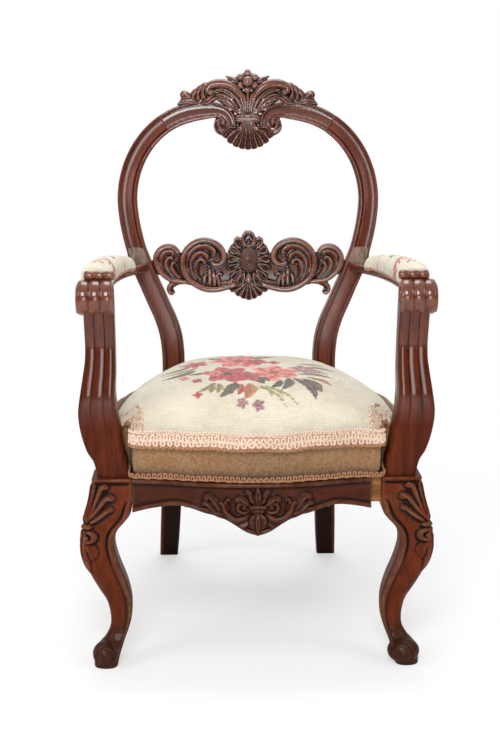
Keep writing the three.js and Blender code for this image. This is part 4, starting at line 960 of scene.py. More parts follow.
@dataclass(frozen=True)
class Polish:
    """Stained and polished wood.

    Attributes:
        name: Name of the material.
        grain: Way of the grain.
        deep: Darkest colour of the figure.
        body: Its middle colour.
        light: Its lightest colour.
        rubbed: Colour of rubbed edges, which also paints their highlight.
        roughness: Roughness of the polish.
        coat: Strength of the clear coat.
        figure: Strength of the figure.
        rubbing: Strength of the rubbed edges and their painted highlight.
        painted_shade_under: Height under which its front is painted nearly black as the seat's shade, as on
            the rear legs.
        dull: Height under which the polish is worn dull.
        darker_under: Height under which the wood is painted darker towards the floor.
        knee: Height over which the carving holds more wax and painted shade.
        shine: Specular level under the coat.
        wax: Strength of the dark wax and the painted shade in hollows.
        haze: Roughness of the clear coat.
    """

    name: str
    grain: Grain
    deep: Colour = rgb(44, 14, 8)
    body: Colour = rgb(92, 42, 25)
    light: Colour = rgb(124, 62, 40)
    rubbed: Colour = rgb(150, 108, 90)
    roughness: float = 0.34
    coat: float = 0.4
    figure: float = 1.0
    rubbing: float = 0.4
    painted_shade_under: float = 0.0
    dull: float = 0.0
    darker_under: float = 0.0
    knee: float = 0.0
    shine: float = 0.14
    wax: float = 1.0
    haze: float = 0.1

    def make(self, groups: Groups) -> bpy.types.Material:
        """Build the material.

        Args:
            groups: The shared node groups.

        Returns:
            The material.
        """
        material, graph, shader = start_material(self.name)
        place = graph.add("ShaderNodeTexCoord").outputs["Object"]
        apart = graph.add("ShaderNodeSeparateXYZ", {0: place}).outputs
        run = graph.add("ShaderNodeMapping", {"Vector": place, "Scale": self.grain.value}).outputs[0]
        grain = graph.add("ShaderNodeGroup", {"Vector": run, "Figure": self.figure},
                          node_tree=groups.grain).outputs
        polish = graph.add("ShaderNodeGroup", {"Vector": place, "Rubbing": self.rubbing, "Wax": self.wax},
                           node_tree=groups.polish).outputs
        colour = graph.ramp(grain["Figure"], [(0.0, self.deep), (0.5, self.body), (1.0, self.light)])
        colour = graph.mix(graph.times(grain["Pores"], 0.4), colour, self.deep)
        wax, gloss = polish["Wax"], self.coat
        if self.knee:
            wax = graph.times(wax, graph.span(apart["Z"], self.knee - 0.03, self.knee, 1.0, 2.4), True)
        # Dark wax with painted shade in hollows, then rubbed edges with painted highlight.
        colour = graph.mix(polish["Rubbed"], graph.mix(wax, colour, rgb(18, 7, 4)), self.rubbed)
        # Painted shade: below this height the front faces of the rear legs are darkened nearly to black, as
        # the seat's shadow.
        if self.painted_shade_under:
            low = graph.span(apart["Z"], self.painted_shade_under, self.painted_shade_under + 0.03, 1.0, 0.0)
            gloss = graph.times(graph.math("SUBTRACT", 1.0, graph.times(low, 0.9)), self.coat)
            out = graph.math("ADD", graph.math("ABSOLUTE", apart["X"]), graph.times(apart["Z"], 0.052))
            painted_shade = graph.times(low, graph.span(out, 0.179, 0.184, 0.92, 0.25))
            colour = graph.mix(painted_shade, colour, rgb(16, 4, 2))
        # The wood is painted darker towards the floor below this height.
        if self.darker_under:
            darkening = graph.span(apart["Z"], self.darker_under * 0.5, self.darker_under, 0.75, 0.0)
            colour = graph.mix(darkening, colour, rgb(46, 28, 20))
        if self.dull:
            gloss = graph.span(apart["Z"], self.dull - 0.05, self.dull, 0.12 * self.coat, self.coat)
        rough = graph.math("ADD", graph.times(polish["Dull"], 0.14), self.roughness)
        rough = graph.math("ADD", rough, graph.times(polish["Rubbed"], 0.1))
        bump = graph.add("ShaderNodeBump", {"Height": grain["Pores"], "Strength": 0.18, "Distance": 0.0004},
                         invert=True)
        graph.feed(shader, {"Base Color": colour, "Roughness": rough, "Normal": bump.outputs[0],
                            "Specular IOR Level": self.shine, "Coat Weight": gloss,
                            "Coat Roughness": self.haze})
        return material


@dataclass(frozen=True)
class Stuff:
    """Woven or stitched cloth.

    Attributes:
        name: Name of the material.
        colour: Its plain colour.
        dark: Colour of soiling.
        attribute: Colour attribute painted on the piece, or nothing.
        pitch: Size of a stitch in metres.
        bump: Depth of the stitches in metres.
        soil: Strength of soiling.
    """

    name: str
    colour: Colour
    dark: Colour
    attribute: str = ""
    pitch: float = 0.0022
    bump: float = 0.0007
    soil: float = 0.35

    def make(self, groups: Groups) -> bpy.types.Material:
        """Build the material.

        Args:
            groups: The shared node groups.

        Returns:
            The material.
        """
        material, graph, shader = start_material(self.name)
        place = graph.add("ShaderNodeTexCoord").outputs["Object"]
        weave = graph.add("ShaderNodeGroup", {"Vector": place, "Pitch": self.pitch},
                          node_tree=groups.weave).outputs
        colour: object = self.colour
        if self.attribute:
            colour = graph.add("ShaderNodeAttribute", attribute_name=self.attribute).outputs["Color"]
        soiled = graph.times(graph.span(graph.noise(place, 14.0, 5.0, 0.6), 0.45, 0.75), self.soil)
        # Painted shade: the gaps between stitches are darkened.
        shade = graph.times(graph.math("SUBTRACT", 1.0, weave["Height"]), 0.6, True)
        colour = graph.mix(shade, graph.mix(soiled, colour, self.dark), rgb(176, 160, 140), "MULTIPLY")
        colour = graph.mix(graph.times(weave["Shade"], 0.08), colour, rgb(255, 250, 235))
        bump = graph.add("ShaderNodeBump", {"Height": weave["Height"], "Strength": 0.8,
                                            "Distance": self.bump})
        graph.feed(shader, {"Base Color": colour, "Normal": bump.outputs[0], "Roughness": 0.92,
                            "Sheen Weight": 0.25, "Sheen Roughness": 0.5})
        return material


@dataclass(frozen=True)
class Wire:
    """Rusted copper washed spring wire."""

    name: str = "spring_wire"

    def make(self) -> bpy.types.Material:
        """Build the material."""
        material, graph, shader = start_material(self.name)
        place = graph.add("ShaderNodeTexCoord").outputs["Object"]
        mask = graph.span(graph.noise(place, 160.0, 5.0), 0.45, 0.62)
        graph.feed(shader, {"Base Color": graph.mix(mask, rgb(150, 112, 84), rgb(92, 48, 28)),
                            "Roughness": graph.span(mask, 0, 1, 0.35, 0.8),
                            "Metallic": graph.span(mask, 0, 1, 0.95, 0.2)})
        return material


class Finishes:
    """Every finish of the chair, built once."""

    def __init__(self) -> None:
        """Build the materials."""
        groups = Groups()
        up, across = Grain.UPRIGHT, Grain.ACROSS
        old = (rgb(38, 12, 4), rgb(84, 34, 12), rgb(112, 50, 20))
        dark = (rgb(28, 9, 3), rgb(60, 23, 8), rgb(86, 36, 13))
        red = (rgb(34, 11, 4), rgb(74, 28, 10), rgb(104, 44, 17))
        brown = (rgb(52, 18, 10), rgb(92, 40, 23), rgb(118, 56, 35))
        worn = (rgb(66, 54, 46), rgb(108, 98, 88), rgb(146, 138, 128))
        carved = (rgb(38, 14, 8), rgb(94, 45, 27), rgb(128, 68, 44))
        pale = (rgb(74, 42, 20), rgb(124, 82, 44), rgb(164, 118, 70))
        # Pale colours of rubbed edges, here and in the polishes below, also paint their highlight.
        rubbed_highlight_grey = rgb(118, 92, 74)
        self.leg = Polish("mahogany_leg", up, *old, rubbed_highlight_grey, coat=0.1, figure=0.5, rubbing=0.35, darker_under=0.09,
                          knee=0.22, shine=0.03, wax=0.6).make(groups)
        self.facing = Polish("mahogany_facing", across, *dark, rubbed_highlight_grey, coat=0.15, figure=0.55, rubbing=0.22,
                             shine=0.04, wax=0.7).make(groups)
        self.support = Polish("mahogany_support", up, *red, coat=0.75, dull=0.475, figure=0.55, rubbing=0.1,
                              shine=0.03, wax=0.6).make(groups)
        self.upright = Polish("mahogany_upright", up, *brown, coat=0.45, figure=0.6, rubbing=0.1,
                              painted_shade_under=0.31, shine=0.08, wax=0.7, haze=0.22).make(groups)
        self.rail = Polish("mahogany_rail", across, *brown, coat=0.95, figure=0.6, rubbing=0.15, shine=0.08,
                           wax=0.8).make(groups)
        self.bleached = Polish("mahogany_bleached", up, *worn, coat=0.0, roughness=0.6).make(groups)
        self.across = Polish("mahogany_across", across, *carved, rgb(150, 126, 116), coat=0.8, roughness=0.26,
                             figure=0.8, rubbing=0.36, shine=0.04, wax=1.2).make(groups)
        self.deep = Polish("mahogany_deep", Grain.DEEP, *carved, coat=0.9, figure=0.5,
                           shine=0.08).make(groups)
        self.beech = Polish("beech", across, *pale, rgb(180, 140, 96), roughness=0.7, coat=0.0, figure=0.9,
                            rubbing=0.2).make(groups)
        self.needlework = Stuff("needlework", rgb(214, 208, 184), rgb(150, 132, 100),
                                "needlework").make(groups)
        self.braid = Stuff("braid", rgb(232, 206, 186), rgb(186, 140, 104), pitch=0.0016).make(groups)
        self.band = Stuff("braid_ground", rgb(196, 152, 124), rgb(130, 84, 54), pitch=0.002).make(groups)
        self.gimp = Stuff("gimp", rgb(158, 96, 44), rgb(76, 38, 16), pitch=0.0014).make(groups)
        self.jute = Stuff("jute", rgb(155, 123, 78), rgb(90, 64, 36), pitch=0.004, bump=0.0012).make(groups)
        self.wire = Wire().make()


# Sub-assemblies.


@dataclass
class BackFrame:
    """Back posts and the hoop with its crest.

    Attributes:
        edge: Rounding of a post's edges.
        channel: Depth of the channels run along a post above the seat.
        eye: Middle of a volute's eye.
        flower: Middle of the flower.
        cell: Size of the cells of the cresting's skin.
        rail_cell: Size of the cells of the crest rail's skin.
    """

    edge: float = 4.0
    channel: float = 2.0
    eye: Point2 = (49.3, 911.5)
    flower: Point2 = (0.0, 992.5)
    cell: float = 0.9
    rail_cell: float = 1.15
    MOULDING: ClassVar[Rows] = (
        (0.5, 0.3), (0.5, 0.14), (0.485, 0.05), (0.45, 0.0), (0.41, 0.02), (0.38, 0.08), (0.35, 0.11),
        (0.27, 0.15), (0.15, 0.165), (0.03, 0.145), (-0.07, 0.1), (-0.13, 0.055), (-0.165, 0.02),
        (-0.21, 0.0), (-0.255, 0.04), (-0.285, 0.12), (-0.315, 0.04), (-0.36, 0.0), (-0.42, 0.01),
        (-0.47, 0.07), (-0.5, 0.18), (-0.5, 0.82), (-0.47, 0.93), (-0.4, 1.0), (0.4, 1.0), (0.47, 0.93),
        (0.5, 0.82),
    )
    # Outer edge of the hoop as it winds into a volute, with its half width and lift.
    VOLUTE: ClassVar[Rows] = (
        (110, 951.0, 18.6, 0), (95, 952.6, 18.0, 0), (79.5, 952.6, 17, 0), (66, 951, 15.5, 0.4),
        (53, 947.5, 14, 1), (41, 941.5, 12.6, 1.6), (31.5, 932, 11.6, 2.2), (25.6, 920, 10.8, 2.8),
        (24.6, 906, 10, 3.4), (30, 893.5, 9.4, 4), (41, 886.4, 9, 4.6), (53.5, 887, 8.6, 5.2),
        (63.5, 893.5, 8, 6), (67.9, 905, 7, 7), (64.5, 915.5, 5.8, 8), (55.5, 920.5, 4.8, 9),
        (46.5, 917.5, 4, 10), (44.2, 910, 3.4, 10.6), (48, 905.6, 3, 11),
    )
    SHELL: ClassVar[Rows] = ((0, 859), (13.5, 860.5), (26.5, 865), (38.5, 872.5), (48, 883))
    GROUND: ClassVar[Rows] = (
        (0, 936), (50, 942), (80, 945), (110, 945), (137, 941), (140, 948), (134, 957), (130, 966),
        (125, 972), (117, 969), (107, 967), (97, 979), (84, 988), (60, 991.5), (38, 991), (33, 994),
        (41, 1000), (30, 999), (18, 1003), (9, 1009), (0, 1010),
    )

    def post_ring(self, z: float) -> Ring:
        """Section of a post at a height."""
        half, deep, e = LINES.post_half_width(z), LINES.post_depth(z), self.edge
        g = self.channel * ease(346, 366, z)
        front = [(-half, e), (-half + 0.3 * e, 0.3 * e), (-half + e, 0.0), (-half + 6.5, 0.2 * g),
                 (-half + 7.5, g), (-half + 9.5, g), (-half + 10.5, 0.2 * g), (0.0, -0.3)]
        back = [(half, deep - e), (half - 0.3 * e, deep - 0.3 * e), (half - e, deep), (e - half, deep),
                (0.3 * e - half, deep - 0.3 * e), (-half, deep - e)]
        outline = [*front, *[(-a, d) for a, d in reversed(front[:-1])], *back]
        centre, line = LINES.post_centre(z), LINES.back(z)
        return [(centre + a, line + d, z) for a, d in outline]

    def hoop_ring(self, station: float) -> Ring:
        """Section of the hoop's moulding at a station."""
        x, z = LINES.hoop_point(station)
        ahead, behind = LINES.hoop_point(station + 0.01), LINES.hoop_point(station - 0.01)
        run = Vector((ahead[0] - behind[0], ahead[1] - behind[1])).normalized()
        width = LINES.hoop_wide
        ring = []
        for across, deep in self.MOULDING:
            px, pz = x + run.y * across * width, z - run.x * across * width
            ring.append((px, LINES.back(pz) + deep * LINES.hoop_deep, pz))
        return ring

    def volute_rings(self) -> list[Ring]:
        """The moulding as it winds in to the eye of the right volute."""
        outer = spline([row[:2] for row in self.VOLUTE], 110)
        lengths = np.concatenate(([0], np.cumsum(np.linalg.norm(np.diff(
            [row[:2] for row in self.VOLUTE], axis=0), axis=1))))
        sizes = [(at, row[2], row[3]) for at, row in zip(lengths, self.VOLUTE)]
        rings = []
        for i, (u, v) in enumerate(outer):
            a, b = outer[max(i - 1, 0)], outer[min(i + 1, len(outer) - 1)]
            run = Vector((b[0] - a[0], b[1] - a[1])).normalized()
            at = float(lengths[-1]) * i / (len(outer) - 1)
            half, lift = along(sizes, at, 1), along(sizes, at, 2)
            ring = []
            for across, deep in self.MOULDING:
                inward = (0.5 - across) * 2 * half
                px, pz = u - run.y * inward, v + run.x * inward
                face = deep * LINES.hoop_deep * half / self.VOLUTE[0][2] - lift
                depth = deep * LINES.hoop_deep if deep > 0.5 else face
                ring.append((px, LINES.back(pz) + depth, pz))
            rings.append(ring)
        return rings

    def foot_ring(self, z: float) -> Ring:
        """Level section at the foot of the hoop, where it stands on the post."""
        centre = LINES.hoop_point(-1)[0]
        return [(centre + across * LINES.post_wide, LINES.back(z) + deep * LINES.hoop_deep, z)
                for across, deep in self.MOULDING]

    def build_posts(self, finishes: Finishes) -> None:
        """Make both back posts."""
        post = grow("back_post_right_turned", [self.post_ring(z) for z in steps(56, 0, LINES.post_top)])
        finish_pair(post, "back_post_left_turned", ["back_post_right", "back_post_left"], finishes.upright)

    def build_hoop(self, finishes: Finishes) -> None:
        """Make both sides of the hoop."""
        rings = [self.foot_ring(LINES.post_top + 0.3), *[self.hoop_ring(s) for s in steps(14, -0.88, -0.06)],
                 *[self.hoop_ring(s) for s in steps(24, 0, LINES.joint_angle - 0.002)]]
        side = grow("hoop_right", rings)
        finish_pair(side, "hoop_left", ["hoop_side_right", "hoop_side_left"], finishes.upright, 35)

    def build_tongues(self, finishes: Finishes) -> None:
        """Make the bleached tongues where the hoop laps over the posts."""

        def edge(u: float, v: float) -> Point2:
            """Lean the outline with the post."""
            return (LINES.post_half_span + LINES.post_splay + u + (v - LINES.post_top) * 0.3, v)

        outline = [edge(*spot) for spot in (
            (-15, 668), (-17, 655), (-17, 646), (-15, 640), (-10, 636.5), (0, 635.5), (10, 636.5), (15, 640),
            (17, 646), (17, 655), (15.5, 668), (8, 670), (-8, 670))]
        tongue = lay(board("hoop_tongue_right", outline, -4, 1.3), on_back)
        twin = mirrored(tongue, "hoop_tongue_left")
        for piece in (tongue, twin):
            modify(piece, "BEVEL", width=1.2, segments=2, limit_method="ANGLE")
            finish(piece, [], finishes.bleached, 50)

    def shell_strokes(self) -> list[Stroke]:
        """Round ended flutes of the shell, from the ribbon down."""
        return [Stroke(((0.2 * u, 914), (0.36 * u, 901), (0.72 * u, v + 15), (u, v)),
                       (1.6, 3.0, 4.8, 6.4, 6.6), Cut.FLUTE, 1.15, (9, 9, 6, 2), Tip.CUPPED)
                for side in (1, -1) for u, v in [(side * a, b) for a, b in self.SHELL[0 if side > 0 else 1:]]]

    def build_crest_rail(self, finishes: Finishes) -> None:
        """Make the top of the hoop, its volutes, the shell and the ribbon between them."""
        band = [self.hoop_ring(s) for s in steps(8, LINES.joint_angle + 0.002, 1.36)]
        right = grow("band", [*band, *self.volute_rings()])
        parts = [right, mirrored(right, "band_left")]
        for side in (1, -1):
            parts.append(lay(egg("drum", (side * 46.3, 907.5, -7), (21.5, 21.5, 9), 0, 16, 36), on_back))
            parts.append(lay(egg("eye", (side * self.eye[0], self.eye[1], 9.5), (4.4, 4.4, 4)), on_back))
        block = board("block", [(0, 866), (20, 870), (33, 879), (41, 892), (41, 936), (-41, 936), (-41, 892),
                                (-33, 879), (-20, 870)], -22, -3)
        ribbon = BENCH.carve("ribbon", [Stroke(((-25, 919.5), (0, 920.5), (25, 919.5)), (7.2,), Cut.RIBBON,
                                               0.6, (8,), Tip.ROUND)])
        parts += [lay(part, on_back) for part in (block, ribbon, BENCH.carve("shell", self.shell_strokes()))]
        whole = skin(join("crest_rail_carved", parts), self.rail_cell)
        finish(whole, ["crest_rail"], finishes.rail, 60, 4)

    def wing_strokes(self) -> list[Stroke]:
        """Stem, leaves and lobes of one wing of the cresting."""
        return [
            # Broad stem that curls over at its end.
            scroll(((6, 946), (11, 959), (19, 971), (31, 982.5), (46, 988), (61, 988.4), (73, 985),
                    (79.6, 977), (75.5, 970)),
                   (2.8, 5, 7, 8, 8.4, 8.4, 7.2, 5.8), (4, 6, 7, 6.5, 6, 6), 0.8),
            # Acanthus leaf under the stem, with its leaflets.
            leaf(((18, 929), (26, 944), (38, 956), (52, 963), (66, 964.5)), (3, 6.5, 8.5, 7.5, 4),
                 (2, 4, 3.5, 2), 0.45),
            blade(((21, 934), (33, 941), (47, 947)), (2.4, 3.6, 2.4), (3, 4, 2)),
            blade(((27, 943), (40, 949), (55, 953.5)), (2.4, 3.6, 2.4), (4, 5, 2)),
            blade(((35, 951), (47, 956), (62, 959)), (2.4, 3.4, 2.2), (4.5, 5, 2)),
            leaf(((24, 945), (32, 957), (43, 966)), (2.2, 3.2, 2.2), (4, 5, 3)),
            # Plumes between the leaf and the stem, and small leaves out along the band.
            leaf(((16, 945), (27, 961), (41, 972), (56, 976), (67, 975)), (3, 4.8, 5.2, 4.6, 3),
                 (2, 4, 3.5, 2)),
            leaf(((14, 955), (23, 969), (35, 978), (48, 981)), (2.6, 3.8, 4, 2.6), (2, 4, 3, 2)),
            blade(((58, 962), (70, 959.5), (81, 952), (94, 949.5)), (3, 4.8, 4.6, 3), (2, 4, 3, 2)),
            blade(((64, 969), (74, 964), (83, 957), (90, 953)), (2.6, 4, 4, 2.6), (2, 3.5, 3, 2)),
            # Lobes that hang over from the end of the stem.
            lobe(((74, 990), (85, 985.5), (91.5, 976), (91, 965), (84.5, 958.5)), (3, 5, 5.6, 5.2, 4.6),
                 (3, 5, 5.5, 4.5, 4), 1),
            lobe(((84, 986), (95, 979.5), (101, 970), (100.5, 961), (96, 956)), (3, 4.8, 5.2, 4.8, 4.2),
                 (2, 4, 4.5, 3.5, 3), 1),
            lobe(((94, 980), (104, 973), (110.5, 965), (110, 957.5), (105.5, 954)), (2.8, 4.6, 5, 4.4, 3.8),
                 (1.5, 3, 3.5, 3, 2.5), 1),
            # Leaves out to the tip of the wing.
            leaf(((98, 949), (112, 953), (127, 953), (141, 947)), (4, 5.4, 5, 2.4), (2.5, 3, 1)),
            lobe(((108, 959), (119, 966.5), (126, 970.5), (130.5, 967), (129, 960.5)),
                 (3.4, 4.6, 4.8, 4.4, 3.6), (2, 3, 3, 2), 1),
            leaf(((106, 955), (118, 960), (129, 959), (135, 954)), (3, 4.4, 4, 2.4), (2.5, 3, 1)),
            # Pointed leaf beside the flower.
            leaf(((14, 988), (24, 993), (34, 998), (45, 1003)), (4, 5.2, 4.4, 2), (3, 4, 2)),
        ]

    def petals(self) -> list[bpy.types.Object]:
        """Six round petals about the button."""
        u0, v0 = self.flower
        turns = [math.radians(angle) for angle in (90, 30, 150, -30, 210, 270)]
        return [egg("petal", (u0 + 16 * math.cos(turn), v0 + 16 * math.sin(turn), 4.5), (7.6, 7.2, 6), turn,
                    14, 24)
                for turn in turns]

    def build_cresting(self, finishes: Finishes) -> None:
        """Make the carved cresting on top of the hoop."""
        ground = board("ground", whole_outline(self.GROUND), -12, -2.5)
        stems = [Stroke(((lean * 8, 924), (lean * 9.5, 940), (lean * 15, 957), (lean * 25, 972)),
                        (1.8, 2.7, 3.2, 2), Cut.BEAD, 1.1, (5, 6, 6, 4), Tip.ROOTED)
                 for lean in (-1.4, -0.85, -0.42, 0, 0.42, 0.85, 1.4)]
        u0, v0 = self.flower
        parts = [ground, BENCH.carve("wings", self.wing_strokes(), pair=True),
                 BENCH.carve("stems", stems), *self.petals(),
                 egg("button", (u0, v0, 9.5), (10.4, 10.4, 9), 0, 16, 28),
                 egg("curl", (74, 971.5, 6), (6.2, 6.2, 5.5)), egg("curl", (-74, 971.5, 6), (6.2, 6.2, 5.5))]
        whole = lay(skin(join("cresting_carved", parts), self.cell), on_back)
        finish(whole, ["crest_carving"], finishes.across, 60, 6)

    def build(self, finishes: Finishes) -> None:
        """Make the whole back frame."""
        self.build_posts(finishes)
        self.build_hoop(finishes)
        self.build_tongues(finishes)
        self.build_crest_rail(finishes)
        self.build_cresting(finishes)


@dataclass
class Splat:
    """Carved cross splat between the posts.

    Attributes:
        set_back: How far its ground lies behind the front of the posts.
        middle: Height of the flower's middle.
        cell: Size of the cells of the carved skin.
        hatch: Distance between the lines of the crosshatching.
    """

    set_back: float = 5.0
    middle: float = 645.0
    cell: float = 1.2
    hatch: float = 5.6
    GROUND: ClassVar[Rows] = (
        (0, 567), (13, 571), (25, 577), (36, 586), (60, 582.5), (84, 583), (106, 592), (120, 596.5),
        (134, 598), (142, 594), (147.5, 592.5), (150, 588), (147.5, 583.5), (146, 580.5), (150, 576.5),
        (157, 578), (161.5, 584), (161.5, 593), (157, 600), (166, 608), (177, 616), (188, 610), (197, 607),
        (197, 640), (190, 645), (187.5, 655), (181, 667), (167, 675), (152, 674.5), (141, 668),
        (135.5, 657), (133, 660), (127, 670), (113, 681), (93, 687.5), (74, 685.5), (56, 677), (46, 662),
        (42.5, 652), (41, 662), (36, 672), (30, 677), (29, 686), (22, 691), (14, 687), (13, 693), (7, 701),
        (0, 702),
    )
    CUPS: ClassVar[Rows] = (
        (14, 657, 37, 667, 7), (16, 648, 42, 647, 7.4), (16, 638, 41, 625.5, 7.4),
        (13, 628, 34, 605.5, 7.6), (8, 621, 20, 596, 6.4),
    )
    FAN: ClassVar[Rows] = ((0, 565.5), (12.5, 568.5), (25, 575), (37.5, 585))

    def on_face(self, u: float, v: float, h: float) -> tuple[float, float, float]:
        """Place on the splat's ground."""
        return (u, LINES.back(v) + self.set_back - h, v)

    def scroll_strokes(self) -> list[Stroke]:
        """Scrolls and leaves of the right half."""
        return [
            # Rim of the big scroll and the lobes that turn inside it, from the outermost in.
            scroll(((20, 603), (38, 593.5), (60, 587.5), (84, 588), (105, 597), (121, 610.5), (129, 627),
                    (130.4, 646), (125, 662.5), (111.5, 676), (93, 683), (75, 681), (59, 672.5),
                    (50, 659.5), (49.5, 646.5), (57.5, 637.5), (68, 636), (75.5, 642)),
                   (3.4, 5, 5.8, 6.2, 6.2, 6, 5.8, 5.6, 5.4, 5.4, 5.4, 5.2, 4.2), (2, 3.5, 4, 4, 4, 4, 3),
                   1.05),
            lobe(((84, 593.5), (101, 601.5), (113.5, 613), (119.8, 629), (119.5, 648), (111.5, 661.5),
                  (98, 669.8), (83.5, 671), (71.5, 664.5), (69, 655)),
                 (2.4, 4.4, 5, 5.2, 5.2, 5.2, 5.4, 5.4), (0.5, 1.5, 2, 2, 3), 0.95),
            lobe(((90, 600), (102, 608), (110.5, 620), (112.2, 640), (105.5, 653), (95, 658), (85.5, 654),
                  (82, 646)),
                 (2.2, 4, 4.6, 4.8, 4.8, 4.8), (0, 0.5, 1, 2), 0.95),
            lobe(((94, 606), (102, 613), (104.8, 626), (102.5, 638.5), (96, 644), (89.5, 641.5),
                  (87.5, 635)),
                 (2, 3.8, 4.2, 4.4, 4.4), (0, 0, 1, 2), 0.95),
            # Leafy tuft between the flower and the scroll.
            leaf(((88, 594), (88, 607), (84, 620)), (2.6, 3.6, 2.2), (1, 2, 1)),
            leaf(((78, 592), (77, 608), (78, 630)), (2.6, 3.8, 2.4), (1, 2.5, 2)),
            leaf(((68, 591), (68, 605), (71, 624)), (2.6, 3.8, 2.4), (1, 2.5, 1)),
            scroll(((59, 592), (60, 603), (63, 614), (58, 619), (53, 614)), (2.4, 3.4, 3, 2.4, 2.2),
                   (1, 2, 2)),
            # Stems from the flower to the scroll.
            Stroke(((17, 610), (34, 604), (50, 600), (60, 600)), (2.4, 2.8, 2.6, 2), Cut.BEAD, 0.9,
                   (2, 2.5, 1)),
            Stroke(((17, 602), (34, 597.5), (50, 594.5), (64, 594)), (2.6, 2.8, 2.6, 2), Cut.BEAD, 0.9,
                   (3, 3, 1)),
            # End scroll with its lobes, and the little hook under it.
            scroll(((106, 595), (122, 601.5), (138, 603.5), (153, 606), (168, 616), (180, 631), (184, 649),
                    (177.5, 663), (165, 670.5), (151.5, 670), (142, 662.5), (139.5, 656)),
                   (2.6, 4.6, 5, 5.2, 5.6, 5.8, 5.8, 5.6, 5.4, 4.8), (2, 3, 4, 4, 3), 1.05),
            lobe(((140, 606), (155, 613), (167.5, 625), (173.5, 638), (172.5, 651), (164.5, 659),
                  (154, 659.5), (147.5, 654)),
                 (2.2, 4, 4.8, 5, 5, 5), (0.5, 1.5, 2, 2), 0.95),
            lobe(((136, 607), (150, 616), (159.5, 628), (162.5, 640), (157, 648), (149.5, 647)),
                 (2, 3.8, 4.4, 4.6, 4.4), (0, 0.5, 1, 1.5), 0.95),
            lobe(((131, 608), (143, 617), (150.5, 628), (150.5, 637), (145, 640)), (2, 3.6, 4, 4),
                 (0, 0, 1)),
            scroll(((124, 599), (138, 600.5), (149, 600), (157.5, 594.5), (159, 586), (154.5, 580),
                    (148.5, 580.5)),
                   (2, 3.4, 3.8, 4, 4, 3.8), (1, 2, 3, 3), 1),
            leaf(((138, 597.5), (147, 595.5), (151.5, 589.5)), (2, 3, 2.4), (0, 1)),
            # Lobe beside the top one.
            Stroke(((9, 671), (13, 680), (19, 686.5), (25.5, 685.5), (27, 679), (22.5, 672), (15, 667)),
                   (2.6,), Cut.BEAD, 1.2, (3, 4, 4, 3), Tip.ROUND),
        ]

    def flower_strokes(self) -> list[Stroke]:
        """Cupped petals round the boss, the lobe over it and the fan under it."""
        strokes = [
            Stroke(((-5, 671), (-9.5, 680), (-11.5, 688), (-7.5, 696), (0, 699), (7.5, 696), (11.5, 688),
                    (9.5, 680), (5, 671)),
                   (3,), Cut.BEAD, 1.2, (3, 5, 5, 5, 3), Tip.ROUND),
            Stroke(((0, 686), (0, 678), (0, 668)), (2.4, 3.6, 5), Cut.LEAF, 0.9, (0, 3, 5), Tip.CUPPED),
            scroll(((0, 621), (0, 608), (0, 598)), (4, 9, 11.5), (3, 4.5, 5), 0.4),
        ]
        for side in (1, -1):
            strokes += [Stroke(((side * a, b), (side * (a + c) / 2, (b + d) / 2), (side * c, d)),
                               (3.4, w, w + 0.6), Cut.FLUTE, 0.75, (5, 5, 3), Tip.CUPPED)
                        for a, b, c, d, w in self.CUPS]
            strokes += [Stroke(((side * 0.12 * u, 600), (side * 0.5 * u, 600 - 0.42 * (600 - v)),
                                (side * u, v)),
                               (1.6, 4.6, 6.2), Cut.FLUTE, 0.85, (5, 5, 2), Tip.CUPPED)
                        for u, v in self.FAN[0 if side > 0 else 1:]]
        return strokes

    def boss(self) -> bpy.types.Object:
        """Oval boss, crosshatched with a veiner."""
        part = egg("splat_boss", (0, self.middle, 4), (17.5, 24.5, 10.5), 0, 110, 130)
        spots = points_of(part.data)
        u, v = spots[:, 0], spots[:, 1] - self.middle
        rising, falling = (np.abs(np.sin(way * math.pi / self.hatch)) for way in (u + v, u - v))
        lines = np.minimum(rising, falling)
        spots[:, 2] -= np.where(spots[:, 2] > 5, 2.2 * np.clip(1 - lines * 1.6, 0, 1), 0)
        set_points(part.data, spots)
        return part

    def build(self, finishes: Finishes) -> None:
        """Make the splat."""
        parts = [board("ground", whole_outline(self.GROUND), -12, -2.5),
                 BENCH.carve("scrolls", self.scroll_strokes(), pair=True),
                 BENCH.carve("flower", self.flower_strokes())]
        whole = lay(skin(join("splat_carved", parts), self.cell), self.on_face)
        finish(whole, ["splat"], finishes.across, 60, 6)
        finish(lay(self.boss(), self.on_face), [], finishes.across, 60, 1)


